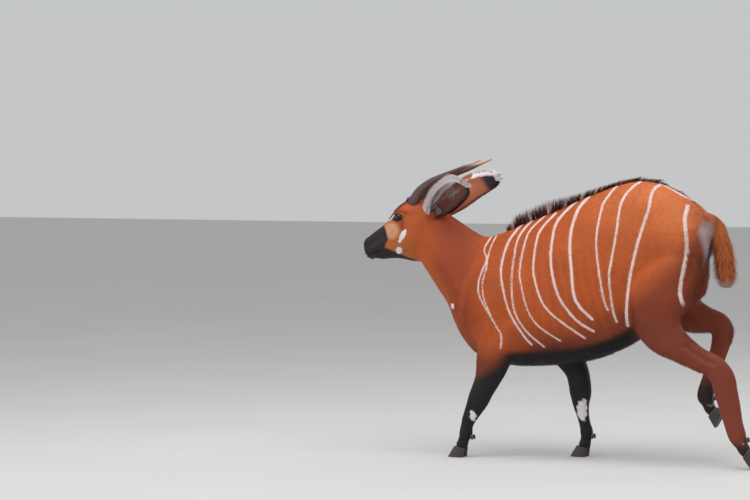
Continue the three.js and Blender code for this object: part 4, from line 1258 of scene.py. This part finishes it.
def joined_forms(settings):
    """Lofts of the head, trunk, tail, legs and ear roots, joined in one object."""
    grow = -settings.coat_depth * 1000
    forms = [
        loft("trunk_form", trunk_rings(BODY_ROWS, BODY_SWELLS, 5, 72, grow)),
        loft("head_form", trunk_rings(HEAD_ROWS, HEAD_SWELLS, 6, 64, HEAD_GROW)),
        loft("tail_form", limb_rings(TAIL_ROWS, 5, 24, 0.0, 2.0)),
    ]
    for name, rows in LEG_ROWS.items():
        forms.append(loft(name + "_form", limb_rings(rows, 5, 36, grow * LEG_GROW_SHARE)))
    for side in (LEFT, RIGHT):
        turned = np.array([1, side, 1])
        line = np.array(EAR_LINES[side]) * turned
        centre = np.array(EAR_ROOT) * turned - line * 4
        forms.append(loft("ear_form", ball_rings(centre, EAR_ROOT_REACH, line)))
    select_only(*forms)
    bpy.ops.object.join()
    return bpy.context.view_layer.objects.active


def needs_detail(point):
    """True near the eyes, the nostrils and the mouth."""
    point = np.array([point[0], abs(point[1]), point[2]])
    mouth = point[0] < LIPS_FROM and abs(point[2] - LIPS_LEVEL) < LIPS_DETAIL
    return (mouth or np.linalg.norm(point - EYE_CENTRE) < EYE_DETAIL
            or np.linalg.norm(point - NOSTRIL) < NOSTRIL_DETAIL)


def build_skin(settings):
    """One skin without a seam: joined, softened, refined at the head, shaped and coloured."""
    skin = joined_forms(settings)
    skin.name = skin.data.name = "skin"
    apply_modifier(skin, "REMESH", mode="VOXEL", voxel_size=settings.voxel)
    mesh = skin.data
    soften(mesh, np.ones(len(mesh.vertices)), 2)
    mm = table_points(mesh)
    joints = np.zeros(len(mm))
    for centre, reach in JOINS:
        d = np.hypot(mm[:, 0] - centre[0], mm[:, 2] - centre[1])
        joints = np.maximum(joints, ramp(d, reach, reach * 0.6))
    soften(mesh, joints, settings.blend)
    refine(skin, lambda point: point[0] < NECK_END)
    mesh = skin.data
    soften(mesh, ramp(table_points(mesh)[:, 0], -830, -850), 2)
    refine(skin, needs_detail)
    mesh = skin.data
    sculpt_skin(mesh)
    soften(mesh, np.full(len(mesh.vertices), 0.25), 1)
    shade_smooth(mesh)
    mesh.calc_loop_triangles()
    triangles = np.empty(len(mesh.loop_triangles) * 3, np.int32)
    mesh.loop_triangles.foreach_get("vertices", triangles)
    SKIN["triangles"] = triangles.reshape(-1, 3)
    SKIN["mm"] = table_points(mesh)
    SKIN["normals"] = normals_of(mesh)
    colour, stripe, pale = markings(SKIN["mm"], SKIN["normals"])
    values = {"tone": colour * SKIN_DARKER, "stripe": stripe, "pale": pale,
              "shade": np.full(len(colour), 0.5), "wet": SKIN["wet"]}
    for name, value in values.items():
        store(mesh, name, value)
    mesh.materials.append(coat_material())
    return skin


def build_coat(name, count, zone, seed, settings, width, scale=1.0, lift=0.0):
    """Short flat tufts over one zone of the skin."""
    count = int(count * settings.coverage)
    points, normals = scatter(count, zone, seed)
    field = body_fields(points, normals)
    random = np.random.default_rng(seed + 1)
    lies = lay_flat(lie_of(field, normals) + random.normal(0, 0.07, (count, 3)), normals)
    lengths = hair_length(field) * random.uniform(0.7, 1.3, count) * scale
    rise = np.radians(random.uniform(2.5, 8, count) + 10 * ramp(lengths, 17, 26) + lift)
    marks = markings(points + lies * (lengths * SEEN_SHARE)[:, None], normals)
    widths = width * random.uniform(0.7, 1.2, count)
    return make_tufts(name, points - normals * 0.5, normals, lies, lengths, widths, rise, marks,
                      unwrap(points), seed + 2, flat=0.12)


def trunk_zone(points):
    """Everything but the face and the free legs."""
    fore, hind = limb_share(points)
    return ramp(points[:, 0], -880, -760) * (1 - 0.98 * np.maximum(fore, hind))


def limb_zone(points):
    """The free legs."""
    fore, hind = limb_share(points)
    return (points[:, 0] > -845) * np.maximum(fore, hind)


def head_zone(points):
    """The head, thinner where it meets the neck."""
    x = points[:, 0]
    return ramp(x, -740, -860) * (0.35 + 0.65 * ramp(x, -840, -900))


def brow_zone(points):
    """The tuft of hair in front of the horns."""
    away = (points - np.array(BROW_CENTRE)) / np.array(BROW_REACH)
    return ramp(np.linalg.norm(away, axis=1), 1, 0.5)


# Coats: name, tufts, zone, seed, width, scale of the length, extra rise, slot
COATS = [
    ("coat_trunk_one", 62000, trunk_zone, 3, 3.2, 1.0, 0.0, "trunk_coat"),
    ("coat_trunk_two", 62000, trunk_zone, 13, 2.6, 1.0, 0.0, "trunk_coat"),
    ("coat_legs", 40000, limb_zone, 23, 2.2, 1.0, 0.0, "hindleg_coat"),
    ("coat_head", 48000, head_zone, 53, 1.5, 1.0, 0.0, "face_coat"),
    ("coat_brow", 1500, brow_zone, 63, 1.8, 3.2, 26.0, "face_coat"),
]


def build_mane(settings):
    """Upright hair on the middle line, tall over the withers and low over the rump."""
    random = np.random.default_rng(31)
    count = 3600
    x = random.uniform(MANE_FROM, MANE_TO, count)
    x = x[random.uniform(0, 1, count) < np.where(x < -60, 1.0, 0.75)]
    count = len(x)
    nothing = np.zeros(count)
    slope = (top_line(x + 5) - top_line(x - 5)) / 10
    along = unit(np.stack([np.ones(count), nothing, slope], axis=1))
    up = np.stack([-along[:, 2], nothing, along[:, 0]], axis=1)
    height = along_table(x, MANE_HEIGHT) * settings.mane_height
    side = random.normal(0, 1, count)
    middle = np.stack([x, side * along_table(x, MANE_SPREAD) * 0.5, top_line(x)], axis=1)
    roots = middle - up * MANE_ROOT
    lean = along_table(x, MANE_LEAN) + random.normal(0, 0.16, count)
    lies = along * lean[:, None] + up
    lies[:, 1] += side * 0.10 + random.normal(0, 0.06, count)
    size = np.linalg.norm(lies, axis=1)
    lies = unit(lies)
    lengths = (height * random.uniform(0.62, 1.02, count) + MANE_ROOT) * size * 0.97
    lengths = np.minimum(lengths, height * 2.2 + 12)
    normals = unit(np.cross(lies, np.stack([random.normal(0, 0.5, count), np.ones(count),
                                            random.normal(0, 0.2, count)], axis=1)))
    stripe = markings(roots + up * MANE_ROOT, up)[1]
    warm = random.uniform(0, 1, count) ** 2 * 0.4 + 0.4 * ramp(x, -150, 200)
    colour = blend_colour(np.tile(np.array(COLOURS["mane"]), (count, 1)), "neck", warm)
    across = picture_points(roots)[:, :1] - np.array(MANE_WHITE)
    white = np.min(np.abs(across), axis=1) - random.uniform(0.4, 2.0, count)
    marks = colour, np.where(x < 60, white, stripe), np.full(count, NO_MARK)
    return make_tufts("mane", roots, normals, lies, lengths, random.uniform(1.8, 3.2, count),
                      0.0, marks, unwrap(roots), 33, segments=3, curl=-0.06, flat=0.35,
                      side_curl=0.06)


def build_tail_hair():
    """Hair of the tail, longest on its lower half, with pale tips."""
    random = np.random.default_rng(41)
    count = 7600
    path = smooth_rows(TAIL_ROWS, 8)
    last = len(path) - 1
    at = random.uniform(0.2, 1, count) ** 0.8 * last
    low = np.minimum(at.astype(int), last - 1)
    place = lerp(path[low], path[low + 1], (at - low)[:, None])
    along = unit(path[low + 1, :3] - path[low, :3])
    angle = random.uniform(0, 2 * math.pi, count)
    front = np.stack([-along[:, 2], np.zeros(count), along[:, 0]], axis=1) * np.cos(angle)[:, None]
    side = np.array([0.0, 1, 0]) * np.sin(angle)[:, None]
    roots = place[:, :3] + (front * place[:, 3:4] + side * place[:, 4:5]) * 0.8
    t = at / last
    lengths = along_table(t, TAIL_LENGTH) * random.uniform(0.5, 1.2, count)
    lengths = np.minimum(lengths, np.maximum(roots[:, 2] - TAIL_LOWEST, 10))
    lies = unit(along * 0.6 + np.array([0, 0, -0.5]))
    out = lay_flat(front + side, lies)
    rise = along_table(t, TAIL_RISE) * random.uniform(0.2, 1.9, count)
    colour = np.tile(np.array(COLOURS["tail"]), (count, 1))
    colour = blend_colour(colour, "low", random.uniform(0, 1, count) ** 2 * 0.5)
    inner = ramp(-out[:, 0], 0.2, 0.9)
    colour = blend_colour(colour, "low", inner * 0.65)
    colour = blend_colour(colour, "grey", ramp(roots[:, 2] - lengths * 0.4, 868, 838) * 0.8)
    colour = blend_colour(colour, "rump", random.uniform(0, 0.35, count) * (1 - inner))
    nothing = np.full(count, NO_MARK)
    return make_tufts("tail_hair", roots, out, lies, lengths, random.uniform(2.2, 4.0, count),
                      rise, (colour, nothing, nothing), unwrap(roots), 43, segments=3,
                      curl=-0.10, flat=0.35, side_curl=0.10)


# Ears

def ear_axes(side):
    """Directions of one ear on the left: to the tip, out of the cup, and across it."""
    along = unit(np.array(EAR_LINES[side], float))
    opening = np.array(EAR_OPEN, float)
    opening = unit(opening - along * (opening @ along))
    return along, opening, np.cross(along, opening)


def ear_points(side, u, v, depth):
    """Points of the cup and its directions inwards, to the rim and to the tip. u runs from
    root to tip, v from the rear rim to the front rim."""
    along, opening, across = ear_axes(side)
    rise = np.minimum(1, u / EAR_WIDEST)
    fall = np.maximum(0, (u - EAR_WIDEST) / (1 - EAR_WIDEST))
    wide = EAR_WIDTH * (0.4 + 0.6 * np.sin(rise * math.pi / 2))
    wide = wide * np.sqrt(np.maximum(0.02, 1 - fall ** 2.6))
    angle = lerp(1.95, 0.85, np.clip(u * 1.7, 0, 1))
    quarter = np.minimum(angle, math.pi / 2)
    radius = wide / np.sin(quarter)
    turn = v * angle
    points = (np.array(EAR_ROOT, float) + np.outer(EAR_LENGTH * u, along)
              + np.outer(-18 * np.sin(u * math.pi) + 14 * u * u, opening)
              + np.outer(np.sin(turn) * (radius + depth), across)
              + np.outer(radius * np.cos(quarter) * 0.6 - np.cos(turn) * (radius + depth),
                         opening))
    inward = np.outer(-np.sin(turn), across) + np.outer(np.cos(turn), opening)
    rim = np.outer(np.cos(turn), across) + np.outer(np.sin(turn), opening)
    tip = np.tile(along, (len(u), 1))
    for values in (points, inward, rim, tip):
        values[:, 1] *= side
    return points, inward, rim, tip


def ear_colour(u, v, inside):
    """Chestnut back with a dark tip and rear edge, brown inside with a white front band."""
    colour = np.tile(np.array(COLOURS["ear"]), (len(u), 1))
    dark = np.maximum(ramp(u, 0.72, 0.82) * ramp(v, 0.92, 0.6), ramp(v, -0.80, -0.95) * 0.75)
    back = blend_colour(colour, "muzzle", dark)
    inner = blend_colour(colour, "ear_in", np.ones(len(u)))
    for name, mask in (("ear", 0.35 * ramp(np.sin(v * 7 + u * 3), 0.2, 0.9)),
                       ("black", ramp(v, -0.45, -0.9) * 0.85),
                       ("black", ramp(u, 0.72, 0.9) * ramp(v, 0.5, -0.2) * 0.8),
                       ("ear_rim", ramp(v - 0.35 * u, 0.2, 0.4))):
        inner = blend_colour(inner, name, mask)
    return lerp(back, inner, np.asarray(inside, float)[:, None])


def build_ear(side, name):
    """A thin cup with an inner and an outer wall, ribbed on the inside."""
    long_steps, across_steps = 44, 30
    line = np.linspace(-1, 1, across_steps)
    v = np.tile(np.concatenate([line, line[::-1]]), long_steps)
    face = np.tile(np.repeat([1, -1], across_steps), long_steps)
    sides = 2 * across_steps
    u = np.repeat(np.linspace(-0.06, 1, long_steps), sides)
    wall = lerp(5.0, 2.4, np.maximum(u, 0)) * np.sqrt(np.maximum(0.05, 1 - np.abs(v) ** 6))
    ridge = 1.6 * np.sin(v * 9) * (1 - np.abs(v)) * np.sin(np.clip(u, 0, 1) * math.pi)
    depth = face * wall * 0.5 - ridge * np.where(face < 0, 1, 0.4)
    points = ear_points(side, u, v, depth)[0]
    faces = tube_faces(long_steps, sides)
    for end in (0, (long_steps - 1) * sides):
        for k in range(across_steps - 1):
            faces.append((end + k, end + k + 1, end + sides - 2 - k, end + sides - 1 - k))
    ear = new_object(name, points, faces)
    mesh = ear.data
    store(mesh, "tone", ear_colour(u, v, face < 0))
    for field, value in (("stripe", NO_MARK), ("pale", NO_MARK), ("shade", 0.5), ("wet", 0.0)):
        store(mesh, field, np.full(len(u), value))
    shade_smooth(mesh)
    mesh.materials.append(coat_material())
    return ear


def ear_tufts(side, name, seed):
    """The rows of EAR_HAIR on one ear."""
    random = np.random.default_rng(seed)
    parts = []
    for count, u_range, v_range, face, length, width, to_rim, rise, tone, soft in EAR_HAIR:
        u = random.uniform(*u_range, count)
        v = random.uniform(*v_range, count)
        if soft:
            u = u + random.normal(0, 0.08, count)
            v = v + random.normal(0, 0.16, count)
        points, inward, rim, tip = ear_points(side, u, v, np.full(count, 0.6 * face))
        normal = inward * (-face)
        fringe = to_rim >= 1
        if fringe:
            _, opening, rim = (axis * [1, side, 1] for axis in ear_axes(side))
            normal = np.tile(opening * -face, (count, 1))
        spill = rim * np.sign(v)[:, None]
        lie = tip + spill * (to_rim * random.uniform(0.6, 1.4, count))[:, None]
        lie = lay_flat(lie + random.normal(0, 0.08, (count, 3)), normal)
        colour = ear_colour(u, v, np.full(count, face < 0))
        if tone:
            colour = blend_colour(colour, tone, random.uniform(0.6, 1, count))
        if side == RIGHT and fringe and tone:
            length = length * FAR_EAR_FRINGE
        sheet = np.stack([0.55 + 0.1 * side + u * 0.08, 0.52 + 0.1 * v], axis=1)
        parts.append((points, normal, lie, length * random.uniform(0.6, 1.15, count),
                      width * random.uniform(0.7, 1.3, count),
                      np.radians(rise * random.uniform(0.5, 1.5, count)), colour, sheet))
    *shape, colour, sheet = (np.concatenate(rows) for rows in zip(*parts))
    nothing = np.full(len(colour), NO_MARK)
    return make_tufts(name, *shape, (colour, nothing, nothing), np.clip(sheet, 0.01, 0.99),
                      seed + 1, segments=2, curl=0.05, flat=0.3, side_curl=0.08)


# Horns, eyes and hooves

def build_horn(side, name):
    """A bent horn with a twisted keel, fine rings near the root and a pale tip."""
    rows = [[*point, HORN_RADIUS * share, HORN_RADIUS * share]
            for point, share in zip(HORN_LINE, HORN_SHARES)]
    rings = limb_rings(rows, 12, HORN_SIDES, -0.4, 2.0)
    t = np.linspace(0, 1, len(rings))[:, None]
    spin = np.linspace(0, 2 * math.pi, HORN_SIDES, endpoint=False)[None]
    keel = 1 + 0.13 * np.cos(2 * (spin - t * 1.9)) + 0.012 * np.sin(t * 95) * (t < 0.45)
    centre = rings.mean(axis=1, keepdims=True)
    rings = centre + (rings - centre) * keel[..., None]
    rings[..., 1] *= side
    horn = loft(name, rings)
    mesh = horn.data
    along = np.repeat(t[:, 0], HORN_SIDES)
    tip = ramp(along, 0.84, 0.93)
    colour = np.tile(np.array(COLOURS["horn"]), (len(along), 1))
    colour = blend_colour(colour, "muzzle", ramp(along, 0.22, 0.0) * 0.5)
    colour = blend_colour(colour, "horn_tip", tip * (0.95 if side == LEFT else 0.8))
    if side == RIGHT:
        colour = lerp(colour, colour * np.array(FAR_TIP_TINT), tip[:, None])
    store(mesh, "tone", colour)
    store(mesh, "along", along)
    mesh.polygons.foreach_set("use_smooth", [len(p.vertices) == 4 for p in mesh.polygons])
    mesh.materials.append(bpy.data.materials.get("horn_keratin") or horn_material())
    return horn


def build_eye(side, name):
    """A ball with a slight bulge over its iris."""
    centre, outward, fore, up = eye_frame(side)
    bpy.ops.object.select_all(action="DESELECT")
    bpy.ops.mesh.primitive_uv_sphere_add(segments=48, ring_count=32, radius=EYE_RADIUS * 0.001,
                                         location=tuple(centre * 0.001 + ORIGIN))
    eye = bpy.context.view_layer.objects.active
    eye.name = eye.data.name = name
    bpy.ops.object.transform_apply(location=True, rotation=True, scale=True)
    mesh = eye.data
    mm = table_points(mesh) - centre
    a, b, c = mm @ fore, mm @ up, mm @ outward
    bulge = ramp(np.hypot(a, b), 11, 0) * (c > 0)
    mm += outward * (1.2 * bulge)[:, None]
    set_table_points(mesh, mm + centre)
    store(mesh, "iris", np.where(c > 0, np.hypot(a / IRIS_REACH[0], b / IRIS_REACH[1]), 3.0))
    shade_smooth(mesh)
    mesh.materials.append(bpy.data.materials.get("eye_gloss") or eye_material())
    return eye


def hoof_nodes():
    """Names of the solids that the hooves replace."""
    return [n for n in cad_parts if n.startswith(("claw_", "dewclaw_"))]


def build_hooves(settings):
    """Rounded copies of the claws and dewclaws."""
    copies = []
    for name in hoof_nodes():
        copy = link(name + "_copy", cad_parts[name].data.copy())
        copy.data.materials.clear()
        copies.append(copy)
    if not copies:
        raise RuntimeError("The frame has no claws")
    select_only(*copies)
    bpy.ops.object.join()
    hooves = bpy.context.view_layer.objects.active
    hooves.name = hooves.data.name = "hooves"
    for layer in list(hooves.data.uv_layers):
        hooves.data.uv_layers.remove(layer)
    work = bmesh.new()
    work.from_mesh(hooves.data)
    bmesh.ops.remove_doubles(work, verts=work.verts, dist=1e-5)
    work.to_mesh(hooves.data)
    work.free()
    apply_modifier(hooves, "REMESH", mode="VOXEL", voxel_size=settings.hoof_voxel)
    mesh = hooves.data
    soften(mesh, np.ones(len(mesh.vertices)), 4)
    shade_smooth(mesh)
    mesh.materials.clear()
    mesh.materials.append(hoof_material())
    return hooves


# Studio

def aim(obj, direction):
    """Turns a camera or lamp to look in a direction."""
    obj.rotation_euler = Vector(direction).to_track_quat("-Z", "Y").to_euler()


def build_stage(settings):
    """The floor, the camera of the photograph, the sky and the lamps."""
    scene = bpy.context.scene
    bpy.ops.object.select_all(action="DESELECT")
    bpy.ops.mesh.primitive_plane_add(size=60, location=(0, 0, 0))
    floor = bpy.context.view_layer.objects.active
    floor.name = "studio_floor"
    floor.data.materials.append(floor_material())

    place, forward = camera_axes()[:2]
    data = bpy.data.cameras.new("photo_camera")
    data.sensor_width = SENSOR_WIDTH
    data.lens = SENSOR_WIDTH * CAMERA_PIXELS / FRAME_WIDE
    camera = link("photo_camera", data)
    camera.location = Vector(place + ORIGIN)
    aim(camera, forward)
    scene.camera = camera

    scene.world = scene.world or bpy.data.worlds.new("studio")
    scene.world.use_nodes = True
    background = scene.world.node_tree.nodes["Background"]
    background.inputs["Color"].default_value = (*COLOURS["sky"], 1)
    background.inputs["Strength"].default_value = settings.sky
    scene.view_settings.view_transform = "Standard"
    for name, spot, size, share in LIGHTS:
        lamp = bpy.data.lights.new(name, "AREA")
        lamp.energy = settings.key * share
        lamp.shape = "DISK"
        lamp.size = size
        light = link(name, lamp)
        light.location = spot
        aim(light, Vector(LIGHTS_AIM) - Vector(spot))


# Add-on

class BONGO_PG_skin(PropertyGroup):
    voxel: FloatProperty(name="Voxel", description="Grid of the joined skin",
                         default=0.0079, min=0.003, unit="LENGTH", subtype="DISTANCE")
    coat_depth: FloatProperty(name="Coat depth", description="How far the skin lies inside",
                              default=0.003, min=0, unit="LENGTH", subtype="DISTANCE")
    blend: IntProperty(name="Blend", description="Rounds that soften where parts meet",
                       default=16, min=0)


class BONGO_PG_coat(PropertyGroup):
    coverage: FloatProperty(name="Coverage", description="Share of the full count of tufts",
                            default=1.0, min=0.01, max=1.5, subtype="FACTOR")
    mane_height: FloatProperty(name="Mane height", description="Height of the mane",
                               default=1.0, min=0.2, max=1.1, subtype="FACTOR")
    hoof_voxel: FloatProperty(name="Hoof voxel", description="Grid of the hooves",
                              default=0.0022, min=0.001, unit="LENGTH", subtype="DISTANCE")
    stripe: FloatVectorProperty(name="Stripes", description="Colour of the stripes",
                                default=COLOURS["stripe"], min=0, max=1, subtype="COLOR")
    white: FloatVectorProperty(name="Pale marks", description="Colour of the face and foot marks",
                               default=COLOURS["white"], min=0, max=1, subtype="COLOR")


class BONGO_PG_stage(PropertyGroup):
    sky: FloatProperty(name="Sky", description="Strength of the even light",
                       default=0.6, min=0, subtype="FACTOR")
    key: FloatProperty(name="Key", description="Power of the light above",
                       default=200.0, min=0, unit="POWER")


def dress(obj, slot, *nodes):
    """Puts a finished piece in the frame in place of its solids."""
    if not len(obj.data.polygons):
        raise RuntimeError(f"{obj.name} has no faces")
    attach(obj, "root")
    if nodes:
        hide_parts(*nodes)


def need_skin():
    """Stops a step that grows hair before there is a skin."""
    if "triangles" not in SKIN:
        raise RuntimeError("The skin is built first")


class BONGO_OT_skin(Operator):
    """Joins the trunk, head, legs, tail and ear roots in one skin with its markings"""

    bl_idname = "bongo.skin"
    bl_label = "Skin"

    def execute(self, context):
        skin = build_skin(context.scene.bongo_skin)
        dress(skin, "trunk_coat", "trunk", "neck", "head", *LEG_ROWS)
        return {"FINISHED"}


class BONGO_OT_eyes(Operator):
    """Two dark glossy eyes with a wide pupil"""

    bl_idname = "bongo.eyes"
    bl_label = "Eyes"

    def execute(self, context):
        for side, node in ((LEFT, "eye_left"), (RIGHT, "eye_right")):
            dress(build_eye(side, node + "_ball"), "eye", node)
        return {"FINISHED"}


class BONGO_OT_horns(Operator):
    """Two bent, slightly twisted horns with pale tips"""

    bl_idname = "bongo.horns"
    bl_label = "Horns"

    def execute(self, context):
        for side, node in ((LEFT, "horn_left"), (RIGHT, "horn_right")):
            dress(build_horn(side, node + "_surface"), "horn", node)
        return {"FINISHED"}


class BONGO_OT_ears(Operator):
    """Two cupped ears with their hair"""

    bl_idname = "bongo.ears"
    bl_label = "Ears"

    def execute(self, context):
        for side, node, seed in ((LEFT, "ear_left", 56), (RIGHT, "ear_right", 64)):
            dress(build_ear(side, node + "_skin"), "ear_skin", node)
            dress(ear_tufts(side, node + "_hair", seed), "ear_skin")
        return {"FINISHED"}


class BONGO_OT_hooves(Operator):
    """Cloven hooves and dewclaws"""

    bl_idname = "bongo.hooves"
    bl_label = "Hooves"

    def execute(self, context):
        dress(build_hooves(context.scene.bongo_coat), "hoof", *hoof_nodes())
        return {"FINISHED"}


class BONGO_OT_coat(Operator):
    """Short tufts over the trunk, legs and head"""

    bl_idname = "bongo.coat"
    bl_label = "Coat"

    def execute(self, context):
        need_skin()
        settings = context.scene.bongo_coat
        for name, count, zone, seed, width, scale, lift, slot in COATS:
            dress(build_coat(name, count, zone, seed, settings, width, scale, lift), slot)
        return {"FINISHED"}


class BONGO_OT_mane(Operator):
    """Mane along the back and hair of the tail"""

    bl_idname = "bongo.mane"
    bl_label = "Mane and tail"

    def execute(self, context):
        need_skin()
        dress(build_mane(context.scene.bongo_coat), "trunk_coat")
        dress(build_tail_hair(), "tail_coat", "tail")
        return {"FINISHED"}


class BONGO_OT_stage(Operator):
    """Pale floor, soft lights and the camera"""

    bl_idname = "bongo.stage"
    bl_label = "Studio"

    def execute(self, context):
        build_stage(context.scene.bongo_stage)
        return {"FINISHED"}


class BONGO_PT_panel(Panel):
    """Sidebar panel with every step in order"""

    bl_label = "Bongo antelope"
    bl_idname = "BONGO_PT_panel"
    bl_space_type = "VIEW_3D"
    bl_region_type = "UI"
    bl_category = "Bongo"

    def draw(self, context):
        for group in ("bongo_skin", "bongo_coat", "bongo_stage"):
            settings = getattr(context.scene, group)
            for key in settings.bl_rna.properties.keys():
                if key not in {"rna_type", "name"}:
                    self.layout.prop(settings, key)
        for operator in STEPS:
            self.layout.operator(operator.bl_idname)


GROUPS = {"bongo_skin": BONGO_PG_skin, "bongo_coat": BONGO_PG_coat, "bongo_stage": BONGO_PG_stage}
STEPS = (BONGO_OT_skin, BONGO_OT_eyes, BONGO_OT_horns, BONGO_OT_ears, BONGO_OT_hooves,
         BONGO_OT_coat, BONGO_OT_mane, BONGO_OT_stage)


def register():
    for group in (*GROUPS.values(), *STEPS, BONGO_PT_panel):
        bpy.utils.register_class(group)
    for name, group in GROUPS.items():
        setattr(bpy.types.Scene, name, PointerProperty(type=group))


def unregister():
    for name in GROUPS:
        delattr(bpy.types.Scene, name)
    for group in (BONGO_PT_panel, *reversed(STEPS), *reversed(list(GROUPS.values()))):
        bpy.utils.unregister_class(group)


def main():
    register()
    bpy.ops.bongo.skin()
    bpy.ops.bongo.eyes()
    bpy.ops.bongo.horns()
    bpy.ops.bongo.ears()
    bpy.ops.bongo.hooves()
    bpy.ops.bongo.coat()
    bpy.ops.bongo.mane()
    bpy.ops.bongo.stage()


if __name__ == "__main__":
    main()
